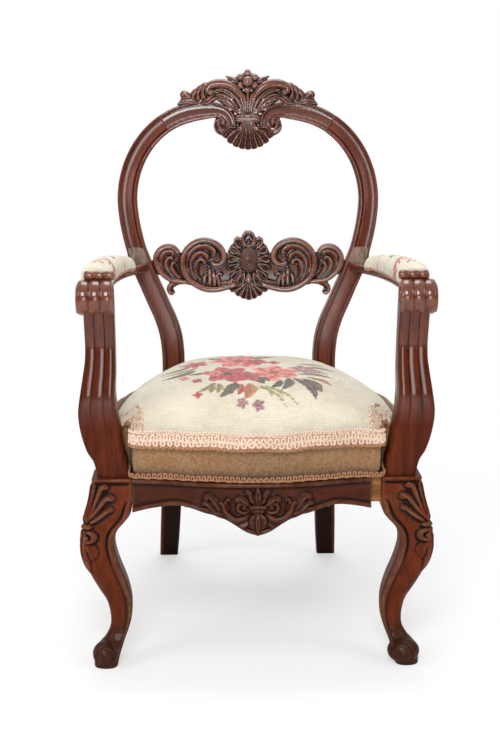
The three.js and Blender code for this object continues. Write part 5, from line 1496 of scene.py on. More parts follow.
@dataclass
class FrontFacing:
    """Carved and beaded facing on the front rail.

    Attributes:
        thick: Its thickness.
        broken_end: Where it breaks off on the right.
        cell: Size of the cells of the carved skin.
    """

    thick: float = 11.7
    broken_end: float = 193.0
    cell: float = 1.15

    def ring(self, x: float) -> Ring:
        """Section of the facing at a place across the chair."""
        y, low, top = LINES.seat_front(x), LINES.apron_edge(x), LINES.rail_top
        outline = [
            (self.thick, top), (-1.5, top), (-3.6, top - 0.9), (-4.8, top - 2.4), (-5.0, top - 4.0),
            (-4.6, top - 5.8), (-3.2, top - 7.4), (-0.6, top - 8.2), (0.0, top - 9.4), (0.0, low + 9.6),
            (-0.6, low + 8.8), (-2.6, low + 8.4), (-4.2, low + 6.6), (-4.8, low + 4.4), (-4.2, low + 2.0),
            (-2.2, low + 0.4), (self.thick, low),
        ]
        return [(x, y + deep, z) for deep, z in outline]

    def strokes(self) -> list[Stroke]:
        """Leaves and scrolls of the right half of the carving in the middle."""
        return [
            # Leaves beside the bud.
            lobe(((3, 300), (8, 310), (12, 319), (16.5, 324.5), (20, 320)), (3, 4.8, 4.6, 4, 3.6),
                 (3, 5, 4, 3)),
            lobe(((10, 298), (19, 307), (28, 313), (35, 310), (34, 304.5)), (3, 4.6, 4.8, 4.2, 3.6),
                 (3, 5, 4, 3)),
            scroll(((13, 291), (21, 287.5), (30, 289.5), (34, 296), (31, 302.5), (24.5, 303), (22, 297.5),
                    (26.5, 295.5)),
                   (2.4, 3, 3), (3, 4, 4.5), 1),
            # Long scroll of the garland, and the leaves it ends in.
            scroll(((13, 285), (23, 278), (35, 275.5), (46.5, 280.5), (54.5, 290), (58, 300), (62, 305),
                    (66.5, 302), (65, 296.5)),
                   (3, 4.6, 5.6, 5.6, 5.2, 4.6, 4, 3.2, 2.8), (3, 4.5, 5, 5, 4)),
            lobe(((47, 289), (50.5, 297), (53, 305), (50, 310), (46, 307)), (2.4, 3.4, 3.6, 3, 2.6),
                 (2, 3.5, 3)),
            lobe(((57, 286), (65, 299), (72, 309), (80, 315.5), (87, 313), (86, 307)),
                 (3, 5.2, 5.8, 5.4, 4.6, 3.8), (2, 4, 4.5, 3), 0.95),
            lobe(((60, 284), (71, 292), (80, 300), (88.5, 304), (93, 299.5)), (3, 5.2, 5.4, 4.6, 3.8),
                 (2, 4, 3.5, 2.5), 0.95),
            leaf(((48, 277), (61, 283), (76, 289), (92, 294)), (3, 5, 4.6, 2), (2, 4, 3, 4)),
            # Lobe beside the pendant.
            lobe(((11, 276), (18, 271), (26, 268), (33, 270)), (3.4, 5.6, 7, 6), (4, 4.5, 4), 0.7),
        ]

    def middle_strokes(self) -> list[Stroke]:
        """Bud, cuff and pendant on the centre line."""
        leaves = [leaf(((side * 3, 288), (side * 9.5, 277), (side * 8.5, 266), (side * 3, 257)),
                       (2.6, 4.8, 4.4, 2.4), (6, 8, 7, 4), 0.8) for side in (1, -1)]
        return [
            leaf(((0, 299), (0, 311), (0, 322), (0, 333)), (4.5, 6.4, 5.8, 2), (4, 5, 3)),
            Stroke(((-14, 296.5), (0, 298), (14, 296.5)), (3.3,), Cut.BEAD, 1, (4.5, 5.5, 4.5), Tip.ROUND),
            Stroke(((-11, 290.5), (0, 291.5), (11, 290.5)), (2.6,), Cut.BEAD, 1, (4.5, 5.5, 4.5), Tip.ROUND),
            Stroke(((0, 292), (0, 281), (0, 268), (0, 256), (0, 246)), (11, 12.5, 15.5, 9.5, 2.5), Cut.BEAD,
                   0.42, (2, 3, 3, 2), Tip.ROOTED),
            *leaves,
            leaf(((0, 288), (0, 274), (0, 262), (0, 250)), (2.6, 4.6, 4.2, 2), (8, 9, 7, 3)),
        ]

    def build(self, finishes: Finishes) -> None:
        """Make the facing with its carving."""
        start = -LINES.block_inner + 0.3
        blank = grow("facing", [self.ring(x) for x in steps(96, start, self.broken_end)])
        carved = [lay(BENCH.carve("garland", self.strokes(), pair=True), on_apron),
                  lay(BENCH.carve("middle", self.middle_strokes()), on_apron)]
        whole = skin(join("front_facing_carved", [blank, *carved]), self.cell, 4)
        finish(whole, ["front_facing"], finishes.facing, 60, 6)


@dataclass
class FrontLegs:
    """Cabriole front legs with carved knees and scroll feet.

    Attributes:
        cell: Size of the cells of the carved skin.
        toe_y: Middle of a toe, front to back.
        toe_z: Height of a toe's middle.
    """

    cell: float = 1.2
    toe_y: float = -284.0
    toe_z: float = 22.0

    def ring(self, z: float) -> Ring:
        """Section of a leg at a height."""
        low, high = LINES.leg_reach(z)
        side = high - low
        share = z / LINES.rail_top
        cut = 0.28 - 0.22 * ease(0.78, 0.9, share) + 0.18 * (1 - ease(0.1, 0.24, share))
        bead = LINES.top_bead * math.sin(math.pi * min(1, max(0, (z - LINES.rail_top + 8.5) / 8.5)) * 0.5)
        outline = []
        for u, v, start in ((0, 0, 180), (1, 0, 270), (1, 1, 0), (0, 1, 90)):
            radius = side * cut * (1.0 if u == v else 0.8)
            cx = low + (radius if u == 0 else side - radius)
            cy = low + (radius if v == 0 else side - radius)
            for k in range(6):
                angle = math.radians(start + 18 * k)
                outline.append((cx + radius * math.cos(angle), cy + radius * math.sin(angle)))
        middle = low + side / 2
        toward = LINES.corner_half - LINES.corner_reach
        return [(x + (bead * 0.3 if x > middle else 0), toward - y - (bead * 0.9 if y > middle else 0), z)
                for x, y in outline]

    def corner_place(self, u: float, v: float, h: float) -> tuple[float, float, float]:
        """Place on the outer corner of a leg, u along the corner's width and h outwards."""
        low, high = LINES.leg_reach(v)
        side = high - low
        radius = side * 0.24
        centre = high - radius
        round_part = min(abs(u), radius * 0.7)
        reach = math.sqrt(max(radius**2 - round_part**2, 0.0)) - max(0, abs(u) - radius * 0.7) + h
        half = math.sqrt(0.5)
        x = centre + half * (reach + u)
        y = centre + half * (reach - u)
        return (x, LINES.corner_half - LINES.corner_reach - y, v)

    def knee_strokes(self) -> list[Stroke]:
        """Leaves, curl and drooping lobe on one side of the corner."""
        return [
            lobe(((1, 262), (4, 286), (7, 306), (11, 321), (15, 325), (18, 320)),
                 (3, 6.4, 6.6, 5.4, 4.4, 3.8), (2, 4, 4, 3)),
            lobe(((2, 264), (8, 282), (14, 296), (20, 306), (24.5, 305), (24.5, 300)),
                 (3, 6, 6, 5, 4.2, 3.6), (2, 4.5, 4, 2.5)),
            lobe(((4, 262), (11, 271), (18, 279), (25, 286), (28.5, 283)), (3, 5.6, 5.8, 4.8, 4),
                 (2, 4.5, 4, 2.5)),
            scroll(((2, 250), (9, 250), (15, 245), (14.5, 237), (8.5, 233.5), (4.5, 238), (8.5, 241.5)),
                   (2.8, 3.2, 3.2), (3, 4, 4, 4.5), 1),
            blade(((4, 234), (10.5, 226), (14, 214), (10, 200)), (3, 4.6, 4.4, 2.4), (2, 3, 2, 1)),
        ]

    def middle_strokes(self) -> list[Stroke]:
        """Cuff, upright leaf and hanging leaf on the corner itself."""
        return [
            leaf(((0, 262), (0, 284), (0, 306), (0, 327)), (3.4, 5.6, 5.4, 2.4), (4, 5, 4, 2)),
            Stroke(((-11, 258), (0, 260), (11, 258)), (3.8,), Cut.BEAD, 1, (4, 4.5, 4), Tip.ROUND),
            Stroke(((0, 256), (0, 238), (0, 216), (0, 196), (0, 172)), (5, 8.6, 9.4, 6.6, 2), Cut.LEAF, 0.55,
                   (2.5, 3, 2, 0.5), Tip.ROOTED),
        ]

    def edge_place(self, u: float, v: float, h: float) -> tuple[float, float, float]:
        """Place on the inner front corner of a leg."""
        low, high = LINES.leg_reach(v)
        radius = (high - low) * 0.22
        turn = math.radians(62)
        x = low + radius - math.cos(turn) * (radius + h) + math.sin(turn) * u
        y = high - radius + math.sin(turn) * (radius + h) + math.cos(turn) * u
        return (x, LINES.corner_half - LINES.corner_reach - y, v)

    def toe(self, side: int, centre: float, half: float) -> bpy.types.Object:
        """Scroll toe with the rim that winds over it.

        Args:
            side: 1 on the right, -1 on the left.
            centre: Its middle, sideways.
            half: Half its width.

        Returns:
            The toe, in the chair's own millimetres.
        """
        deep, high = half * 0.4 + 16, 21.5
        lines = [Stroke(((-20, 14), (-9, 22), (5, 22), (16, 13), (20, -2), (16, -16)), (1.4, 1.8, 1.8, 1.4),
                        Cut.BEAD, 0.9, (0.5,), Tip.ROUND),
                 scroll(((-25, -10), (-22, 4), (-13, 15), (-2, 18), (7, 13), (9, 2), (3, -6)),
                        (1.4, 1.9, 1.9, 1.4), (0.5,))]

        def place(u: float, v: float, h: float) -> tuple[float, float, float]:
            """Place on the ball of the toe."""
            a, b = u / half * 0.9, v / high
            x = centre + (half + h) * math.sin(a) * math.cos(b)
            y = self.toe_y - (deep + h) * math.cos(a) * math.cos(b)
            return (side * x, y, self.toe_z + (high + h) * math.sin(b))

        ball = egg("ball", (side * centre, self.toe_y, self.toe_z), (half, deep, high), 0, 20, 32)
        return join("toe", [ball, lay(BENCH.carve("whorl", lines), place)])

    def build(self, finishes: Finishes) -> None:
        """Make both front legs, the toe of the right one broader as on the real chair."""
        heights = [*steps(60, 0, LINES.rail_top - 9), *steps(6, LINES.rail_top - 8.4, LINES.rail_top)]
        blank = grow("leg", [self.ring(z) for z in heights])
        edge = Stroke(((0, 10), (0, 60), (0, 150), (0, 230), (0, 270), (-2, 292), (-9, 303)),
                      (2.4, 3.2, 3.8, 4.8, 5.4, 5.4, 4.6), Cut.BEAD, 0.75, (0.4, 0.8, 0.8), Tip.ROUND)
        knee = BENCH.carve("knee", self.knee_strokes(), pair=True)
        right = join("leg", [blank, lay(knee, self.corner_place),
                             lay(BENCH.carve("cuff", self.middle_strokes()), self.corner_place),
                             lay(BENCH.carve("edge", [edge]), self.edge_place)])
        left = mirrored(right, "leg")
        for name, leg, toe in (("right", right, self.toe(1, 255, 28)), ("left", left, self.toe(-1, 263, 21))):
            whole = skin(join(f"front_leg_{name}_carved", [leg, toe]), self.cell, 4)
            finish(whole, [f"front_leg_{name}"], finishes.leg, 60, 6)


@dataclass
class Arms:
    """Arms with reeded scrolls, their reeded supports and stuffed pads.

    Attributes:
        height: Height of the arm's centre line.
        half_span: Sideways place of the scroll.
        reach: How far the scroll reaches to the front.
        radius: Radius of the scroll.
        wide: Width of the scroll.
        drop: How far the scroll's centre lies under the arm's.
        arm_wide: Width of the arm.
        arm_thick: Its thickness.
        back_drop: How far the arm falls from its front to the post.
        foot_span: Sideways place of a support's foot.
        lean: How far the support leans out from foot to head.
        sweep: How far it bows back on its way.
        support_wide: Width of the support.
        swell: How much wider it swells.
        support_deep: Its depth.
        pad_wide: Width of the pad.
        pad_thick: Its height over the arm.
        reeds: Number of reeds on scroll and support.
        reed_deep: Depth of the scroll's reeds.
        pad_short: How far the pad ends before the post.
    """

    height: float = 655.0
    half_span: float = 267.0
    reach: float = 305.0
    radius: float = 29.5
    wide: float = 57.0
    drop: float = 13.0
    arm_wide: float = 44.0
    arm_thick: float = 17.0
    back_drop: float = 24.0
    foot_span: float = 245.0
    lean: float = 16.0
    sweep: float = 12.0
    support_wide: float = 50.0
    swell: float = 18.0
    support_deep: float = 48.0
    pad_wide: float = 56.0
    pad_thick: float = 30.0
    reeds: int = 3
    reed_deep: float = 2.8
    pad_short: float = 92.0
    ARM_LINE: Rows = ((0, 1), (0.2, 1.01), (0.45, 0.97), (0.65, 0.8), (0.8, 0.51), (0.9, 0.25), (1, 0))
    ARM_WIDTH: Rows = ((0, 1), (0.55, 1), (0.8, 0.82), (0.92, 0.62), (1, 0.6))
    SUPPORT: Rows = (
        (0, 0.03, -0.1), (0.09, 0.3, 0.15), (0.144, 0.6, 0.6), (0.256, 0.88, 1.07), (0.369, 0.75, 1.39),
        (0.478, 0.42, 1.33), (0.587, 0.2, 1.13), (0.683, 0, 1), (0.856, 0, 1), (1, 0, 1),
    )
    BULGE: Rows = ((0, 0), (0.2, 4), (0.46, 11), (0.6, 3), (0.76, -9), (0.9, -6), (1, 0))
    SWEEP: Rows = ((0, 0, 0), (0.25, 0.5, 0.08), (0.5, 1, 0.3), (0.75, 0.7, 0.7), (1, 0, 1))
    PAD: Rows = (
        (0, 0.8, 0.8), (0.03, 0.97, 1), (0.3, 1, 1), (0.6, 0.98, 0.95), (0.9, 0.82, 0.74),
        (0.98, 0.78, 0.66), (1, 0.7, 0.5),
    )

    @property
    def scroll_y(self) -> float:
        """Middle of the scroll, front to back."""
        return self.radius - self.reach

    @property
    def scroll_z(self) -> float:
        """Height of the scroll's middle."""
        return self.height - self.drop

    def arm_end(self) -> tuple[float, float]:
        """Where the arm meets the post, back and up."""
        z = self.height - self.back_drop
        return LINES.back(z) + 4, z

    def arm_centre(self, t: float) -> float:
        """Sideways place of the arm along its length."""
        end = LINES.post_centre(self.arm_end()[1])
        return end + (self.half_span - end) * along(self.ARM_LINE, t)

    def arm_y(self, t: float) -> float:
        """Place of the arm front to back along its length."""
        return self.scroll_y + (self.arm_end()[0] - self.scroll_y) * t

    def arm_height(self, t: float) -> float:
        """Height of the arm's centre along its length."""
        return self.height - self.back_drop * t

    def arm_ring(self, t: float) -> Ring:
        """Section of the arm along its length."""
        half = self.arm_wide * along(self.ARM_WIDTH, t) / 2
        top = self.arm_thick / 2
        outline = []
        for sx, sz, start in ((1, 1, 0), (-1, 1, 90), (-1, -1, 180), (1, -1, 270)):
            for k in range(4):
                angle = math.radians(start + 30 * k)
                outline.append((sx * (half - 5) + 5 * math.cos(angle), sz * (top - 5) + 5 * math.sin(angle)))
        return [(self.arm_centre(t) + a, self.arm_y(t), self.arm_height(t) + u) for a, u in outline]

    def reed_profile(self, width: float, deep: float, cuts: int, power: float) -> list[Point2]:
        """Reeds across a face, as places across and depths in from the front."""
        count = self.reeds * cuts
        return [(width * (k / count - 0.5), deep * (1 - abs(math.sin(math.pi * k / cuts)) ** power))
                for k in range(count + 1)]

    def support_y(self, t: float) -> float:
        """Place of the support's middle, front to back, along its height."""
        foot = LINES.block_back - LINES.leg_side / 2
        return foot + self.sweep * along(self.SWEEP, t, 1) + (self.scroll_y - foot) * along(self.SWEEP, t, 2)

    def support_ring(self, t: float, high: float) -> Ring:
        """Section of the reeded support along its height."""
        width = self.support_wide + self.swell * along(self.SUPPORT, t, 1)
        x = self.foot_span + self.lean * along(self.SUPPORT, t, 2)
        front = self.support_y(t) - self.support_deep / 2 - along(self.BULGE, t)
        z = LINES.rail_top + 0.3 + (high - LINES.rail_top) * t
        half, deep = width / 2, self.support_deep + along(self.BULGE, t)
        back = [(half, deep - 7), (half - 2, deep - 2), (half - 7, deep), (7 - half, deep),
                (2 - half, deep - 2),
                (-half, deep - 7)]
        reeds = self.reed_profile(width, 0.3 + 1.7 * ease(0.15, 0.5, t), 12, 0.22)
        round_off = [(a, d + 3.2 * max(0, abs(2 * a / width) - 0.72) ** 2 / 0.078) for a, d in reeds]
        return [(x + a, front + d, z) for a, d in [*round_off, *back]]

    def roll(self, name: str, y: float, z: float, radius: float, width: float, reeds: int, cut: float,
             turns: int = 40) -> bpy.types.Object:
        """A reeded roll that lies across the arm.

        Args:
            name: Name of the part.
            y: Its middle, front to back.
            z: Height of its middle.
            radius: Its radius.
            width: Its width.
            reeds: Number of reeds.
            cut: Depth of the reeds.
            turns: Faces round the roll.

        Returns:
            The roll, in millimetres.
        """
        rings = []
        count = reeds * 8
        for k in range(count + 1):
            r = radius - cut * (1 - abs(math.sin(math.pi * k * reeds / count)) ** 0.5)
            if k in (0, count):
                r = radius - cut - 1.5
            x = self.half_span + width * (k / count - 0.5)
            rings.append([(x, y + r * math.cos(math.tau * i / turns), z + r * math.sin(math.tau * i / turns))
                          for i in range(turns)])
        return grow(name, rings)

    def spiral_side(self, side: int) -> bpy.types.Object:
        """Spiral on one side of the scroll."""
        line = []
        for i in range(41):
            t = i / 40
            angle = math.pi * (-0.35 + 3.4 * t)
            radius = (self.radius - 5.5) * (1 - t) ** 0.9 + 2
            line.append((radius * math.cos(angle), radius * math.sin(angle)))
        part = BENCH.carve("spiral", [Stroke(tuple(line), (3.4, 3.2, 2.8, 2.2), Cut.BEAD, 0.9,
                                             (0.0, 0.5, 1.5), Tip.ROUND)])
        face = self.half_span + side * self.wide / 2
        return lay(part, lambda u, v, h: (face + side * (h - 1.2), self.scroll_y - u, self.scroll_z + v))

    def build_wood(self, finishes: Finishes) -> None:
        """Make the arms and their supports."""
        bar = grow("bar", [self.arm_ring(t) for t in steps(30, 0, 0.985)])
        scroll = self.roll("scroll", self.scroll_y, self.scroll_z, self.radius, self.wide, self.reeds,
                           self.reed_deep)
        stop = self.roll("stop", self.scroll_y + 9, self.scroll_z + self.radius + 5.5, 8.5, 50.0, 3, 2.0, 20)
        set_points(stop.data, points_of(stop.data) - np.array((6.5, 0, 0)))
        arm = join("arm_right_shaped", [bar, scroll, stop, self.spiral_side(1), self.spiral_side(-1)])
        finish_pair(arm, "arm_left_shaped", ["arm_right", "arm_left"], finishes.deep)
        rings = [self.support_ring(t, self.scroll_z - 8) for t in steps(44, 0, 1)]
        support = grow("arm_support_right_reeded", rings)
        nodes = ["arm_support_right", "arm_support_left"]
        finish_pair(support, "arm_support_left_reeded", nodes, finishes.support)

    def pad_ring(self, s: float) -> Ring:
        """Section of the stuffed pad along its length."""
        length = self.arm_end()[0] - self.scroll_y
        start, end = (self.radius + 4) / length, 1 - self.pad_short / length
        t = start + (end - start) * s
        half = self.pad_wide * along(self.PAD, s, 1) / 2
        rise = self.arm_thick / 2 + 1 + self.pad_thick * along(self.PAD, s, 2)
        outline = [(-0.95, 0), (-1, 0.2), (-0.98, 0.5), (-0.84, 0.8), (-0.45, 0.96), (0, 1), (0.45, 0.96),
                   (0.84, 0.8), (0.98, 0.5), (1, 0.2), (0.95, 0)]
        x, y, z = self.arm_centre(t), self.arm_y(t), self.arm_height(t) - 1
        return [(x + half * a, y, z + rise * u) for a, u in outline]

    def build_pads(self, finishes: Finishes) -> None:
        """Make the stuffed pads."""
        pad = grow("arm_pad_right_stuffed", [self.pad_ring(s) for s in steps(24, 0, 1)])
        pad = puff(pad, 4.0, 3.0, 2.5)
        spots = points_of(pad.data)
        share = (spots[:, 1] - self.scroll_y) / (self.arm_end()[0] - self.scroll_y)
        paint(pad, PadWork().colours(spots, self.height - self.back_drop * share - 1))
        twin = mirrored(pad, "arm_pad_left_stuffed")
        for piece, node in ((pad, "arm_pad_right"), (twin, "arm_pad_left")):
            finish(piece, [node], finishes.needlework, 80)

    def build(self, finishes: Finishes) -> None:
        """Make the arms."""
        self.build_wood(finishes)
        self.build_pads(finishes)


STUFFING_STEPS = 20


def puff(piece: bpy.types.Object, voxel: float, pressure: float, cap: float) -> bpy.types.Object:
    """Stuff a closed form by letting a cloth swell under pressure.

    Args:
        piece: The closed form, in millimetres.
        voxel: Size of the new mesh's cells, in millimetres.
        pressure: Pressure of the stuffing.
        cap: Most that a point may move, in millimetres.

    Returns:
        The stuffed form.
    """
    set_points(piece.data, points_of(piece.data) * MM)
    modify(piece, "REMESH", mode="VOXEL", voxel_size=voxel * MM, adaptivity=0.0)
    start = points_of(piece.data)
    pick(piece)
    cloth = piece.modifiers.new("Cloth", "CLOTH")
    cloth.settings.use_pressure = True
    cloth.settings.uniform_pressure_force = pressure
    cloth.settings.effector_weights.gravity = 0
    cloth.settings.quality = 4
    cloth.point_cache.frame_start, cloth.point_cache.frame_end = 1, STUFFING_STEPS
    for number in range(1, STUFFING_STEPS + 1):
        bpy.context.scene.frame_set(number)
    bpy.ops.object.modifier_apply(modifier=cloth.name)
    bpy.context.scene.frame_set(1)
    move = points_of(piece.data) - start
    length = np.maximum(np.linalg.norm(move, axis=1, keepdims=True), 1e-9)
    set_points(piece.data, start + move * np.minimum(1, cap * MM / length))
    modify(piece, "SMOOTH", factor=0.5, iterations=4)
    modify(piece, "SUBSURF", levels=1, render_levels=1)
    set_points(piece.data, points_of(piece.data) / MM)
    return piece


def paint(piece: bpy.types.Object, colours: np.ndarray) -> None:
    """Give a piece its needlework colours, one linear colour for each point."""
    layer = piece.data.color_attributes.new("needlework", "FLOAT_COLOR", "POINT")
    rgba = np.ones((len(colours), 4), dtype=np.float32)
    rgba[:, :3] = colours
    layer.data.foreach_set("color", rgba.ravel())


# Needlework: simple traditional flowers and leaves drawn by rule.


@dataclass(frozen=True)
class Bloom:
    """A round flower of overlapping petals, longer from front to back by its stretch."""

    at: Point2
    radius: float
    heart: Colour
    shade: Colour
    bright: Colour
    petals: int = 6
    turn: float = 0.0
    stretch: float = 1.3

    def paint(self, spots: np.ndarray, colours: np.ndarray) -> None:
        """Colour the points that the flower covers."""
        u, v = spots[:, 0] - self.at[0], (spots[:, 1] - self.at[1]) / self.stretch
        far = np.hypot(u, v) / self.radius
        angle = np.arctan2(v, u) + self.turn
        edge = 0.84 + 0.16 * np.cos(self.petals * angle)
        inside = far < edge
        swirl = np.sin(self.petals * angle + far * 8.5)
        folds = np.sin((self.petals + 5) * angle - far * 13)
        tone = np.clip(0.45 + 0.55 * swirl + 0.4 * folds + 0.6 * (far - 0.5), 0, 1)[:, None]
        mixed = np.array(self.shade[:3]) * (1 - tone) + np.array(self.bright[:3]) * tone
        core = (far < 0.2)[:, None]
        mixed = np.where(core, np.array(self.heart[:3]), mixed)
        rim = ((far > edge - 0.12) & (swirl < 0.0)) | ((np.abs(swirl + 0.6) < 0.16) & (far > 0.3))
        mixed = np.where(rim[:, None], np.array(self.shade[:3]) * 0.6, mixed)
        colours[inside] = mixed[inside]


@dataclass(frozen=True)
class Frond:
    """A leaf or petal from its root to its tip, bowed to one side."""

    root: Point2
    tip: Point2
    half: float
    colour: Colour
    vein: Colour
    bow: float = 0.12

    def paint(self, spots: np.ndarray, colours: np.ndarray) -> None:
        """Colour the points that the leaf covers."""
        run = np.array(self.tip) - np.array(self.root)
        length = float(np.linalg.norm(run))
        run = run / length
        u = (spots[:, 0] - self.root[0]) * run[0] + (spots[:, 1] - self.root[1]) * run[1]
        v = -(spots[:, 0] - self.root[0]) * run[1] + (spots[:, 1] - self.root[1]) * run[0]
        share = np.clip(u / length, 0, 1)
        v = v - self.bow * length * np.sin(np.pi * share)
        reach = self.half * np.sin(np.pi * share**0.8) ** 0.8
        inside = (u > 0) & (u < length) & (np.abs(v) < reach)
        lit = (v > 0)[:, None]
        mixed = np.where(lit, np.array(self.colour[:3]) * 1.25, np.array(self.colour[:3]) * 0.8)
        mixed = np.where((np.abs(v) < 0.9)[:, None], np.array(self.vein[:3]), mixed)
        colours[inside] = np.clip(mixed, 0, 1)[inside]


RED = rgb(150, 20, 34)
DEEP_RED = rgb(84, 12, 22)
ROSE = rgb(200, 64, 72)
PALE_ROSE = rgb(236, 152, 136)
MAUVE = rgb(118, 70, 88)
PALE_MAUVE = rgb(182, 138, 144)
GREEN = rgb(64, 68, 34)
LIGHT_GREEN = rgb(132, 126, 68)
STEM = rgb(134, 128, 40)
BROWN = rgb(44, 26, 20)
TAN = rgb(160, 104, 62)
ORANGE = rgb(180, 72, 42)
YELLOW = rgb(200, 162, 84)


@dataclass(frozen=True)
class SeatWork:
    """Colours of the seat: a bouquet on a pale ground, over tan sides.

    Attributes:
        stitch: Size of a stitch, in millimetres.
        ground: Colour of the ground.
        side: Colour of the sides.
        worn_at: Sideways place at which the front is most soiled.
        worn_half: How far the soiling spreads from there.
        foot_high: Height under which the sides are painted darker towards the bottom.
        foot_deep: How far down that darkening grows.
    """

    stitch: float = 2.0
    ground: Colour = rgb(214, 208, 188)
    side: Colour = rgb(130, 85, 28)
    worn_at: float = 20.0
    worn_half: float = 150.0
    foot_high: float = 366.0
    foot_deep: float = 26.0

    def bouquet(self) -> list[Bloom | Frond]:
        """Flowers and leaves, from the lowest layer up."""
        leaves = [
            ((-105, -85), (-166, -130), 10, GREEN, BROWN),
            ((-112, -40), (-172, -76), 9, GREEN, LIGHT_GREEN),
            ((-100, -60), (-168, -100), 8, LIGHT_GREEN, GREEN), ((-95, -15), (-140, -22), 9, GREEN, BROWN),
            ((-85, -110), (-118, -120), 8, GREEN, BROWN), ((-70, -180), (-98, -216), 7, LIGHT_GREEN, GREEN),
            ((-76, -186), (-80, -224), 6, LIGHT_GREEN, GREEN),
            ((-64, -184), (-66, -222), 6, LIGHT_GREEN, GREEN), ((-40, -186), (-62, -238), 10, GREEN, BROWN),
            ((-34, -180), (-44, -222), 7, BROWN, GREEN), ((-10, -186), (-20, -244), 11, TAN, ORANGE),
            ((-24, -190), (-30, -230), 7, ORANGE, BROWN), ((-14, -146), (16, -188), 13, BROWN, GREEN),
            ((10, -150), (26, -176), 8, GREEN, BROWN), ((60, -156), (44, -216), 9, GREEN, BROWN),
            ((46, -168), (22, -212), 7, BROWN, GREEN), ((68, -156), (102, -242), 10, BROWN, MAUVE),
            ((84, -156), (114, -222), 8, BROWN, TAN), ((92, -146), (134, -186), 7, TAN, BROWN),
            ((80, -126), (142, -140), 8, BROWN, ORANGE), ((94, -110), (136, -112), 7, MAUVE, BROWN),
            ((96, -60), (152, -76), 9, GREEN, BROWN), ((86, -40), (136, -36), 8, LIGHT_GREEN, GREEN),
            ((0, 10), (46, 34), 9, GREEN, BROWN), ((-50, 14), (-84, 30), 9, GREEN, LIGHT_GREEN),
            ((-22, 20), (-14, 56), 8, GREEN, BROWN), ((-6, -196), (52, -264), 2.6, STEM, STEM),
            ((8, -200), (72, -260), 2.6, STEM, STEM), ((16, -196), (46, -236), 2.4, STEM, STEM),
            ((2, -190), (30, -250), 2.2, LIGHT_GREEN, STEM),
        ]
        blooms = [
            ((90, -84), 27, YELLOW, MAUVE, PALE_MAUVE, 6, 0.3),
            ((112, -96), 15, YELLOW, MAUVE, PALE_MAUVE, 5, 0.8),
            ((40, -28), 13, DEEP_RED, RED, ROSE, 4, 0.0), ((-104, -28), 24, DEEP_RED, RED, ROSE, 5, 0.4),
            ((-26, -12), 52, RED, ROSE, PALE_ROSE, 6, 1.0), ((6, -22), 24, DEEP_RED, RED, ROSE, 5, 0.1),
            ((-124, -142), 12, ORANGE, ORANGE, PALE_ROSE, 4, 0.2),
            ((-101, -164), 10, RED, RED, ORANGE, 4, 0.5), ((-99, -226), 9, DEEP_RED, RED, ROSE, 4, 0.0),
            ((-24, -252), 11, TAN, MAUVE, PALE_MAUVE, 5, 0.0),
            ((4, -258), 12, BROWN, MAUVE, PALE_MAUVE, 5, 0.6),
            ((36, -116), 46, RED, ROSE, PALE_ROSE, 6, 0.6), ((62, -132), 17, RED, ROSE, PALE_ROSE, 5, 0.3),
            ((-48, -124), 46, DEEP_RED, RED, ROSE, 6, 0.2), ((-12, -142), 27, DEEP_RED, RED, ROSE, 5, 0.9),
            ((-68, -118), 15, DEEP_RED, ROSE, PALE_ROSE, 5, 0.2),
        ]
        return [*(Frond(*leaf) for leaf in leaves), *(Bloom(*bloom) for bloom in blooms)]

    def colours(self, spots: np.ndarray, foot: np.ndarray) -> np.ndarray:
        """Colour of each point.

        Args:
            spots: The points, in the chair's own millimetres.
            foot: Height at which the needlework ends over each point.

        Returns:
            A linear colour for each point.
        """
        cells = np.floor(spots[:, :2] / self.stitch) * self.stitch + self.stitch / 2
        colours = np.tile(np.array(self.ground[:3]), (len(spots), 1))
        for figure in self.bouquet():
            figure.paint(cells, colours)
        low = spots[:, 2] < foot
        soil = np.clip(1 - np.abs(spots[:, 0] - self.worn_at) / self.worn_half, 0, 1)
        # The sides are painted darker towards the bottom.
        soil += np.clip((self.foot_high - spots[:, 2]) / self.foot_deep, 0, 1)
        tan = np.array(self.side[:3]) * (1 - 0.22 * soil[:, None])
        return np.where(low[:, None], tan, colours)


@dataclass(frozen=True)
class PadWork:
    """Colours of an arm pad: rosy streaks and green leaves on a cream ground over a tan edge."""

    ground: Colour = rgb(226, 220, 198)
    edge: Colour = rgb(176, 118, 70)

    def colours(self, spots: np.ndarray, low: np.ndarray) -> np.ndarray:
        """Colour of each point of a pad.

        Args:
            spots: The points, in the chair's own millimetres.
            low: Height of the pad's lower edge at each point.

        Returns:
            A linear colour for each point.
        """
        cells = np.floor(spots[:, :2] / 2) * 2 + 1
        folded = np.column_stack((np.abs(cells[:, 0]), cells[:, 1]))
        colours = np.tile(np.array(self.ground[:3]), (len(spots), 1))
        figures = [
            Frond((240, -206), (270, -92), 3.0, RED, ROSE, 0.08),
            Frond((250, -190), (284, -60), 2.6, RED, ROSE, 0.1),
            Frond((258, -210), (288, -140), 2.6, ROSE, RED, 0.08),
            Frond((244, -112), (286, -176), 2.6, RED, ROSE, 0.1),
            Frond((270, -206), (290, -160), 4.0, PALE_ROSE, ROSE),
            Frond((250, -66), (268, -14), 3.4, LIGHT_GREEN, GREEN),
            Frond((222, -10), (250, 40), 3.0, PALE_ROSE, ROSE, 0.1),
            Bloom((264, -132), 9, RED, ROSE, PALE_ROSE, 5),
        ]
        for figure in figures:
            figure.paint(folded, colours)
        return np.where((spots[:, 2] < low + 8.5)[:, None], np.array(self.edge[:3]), colours)


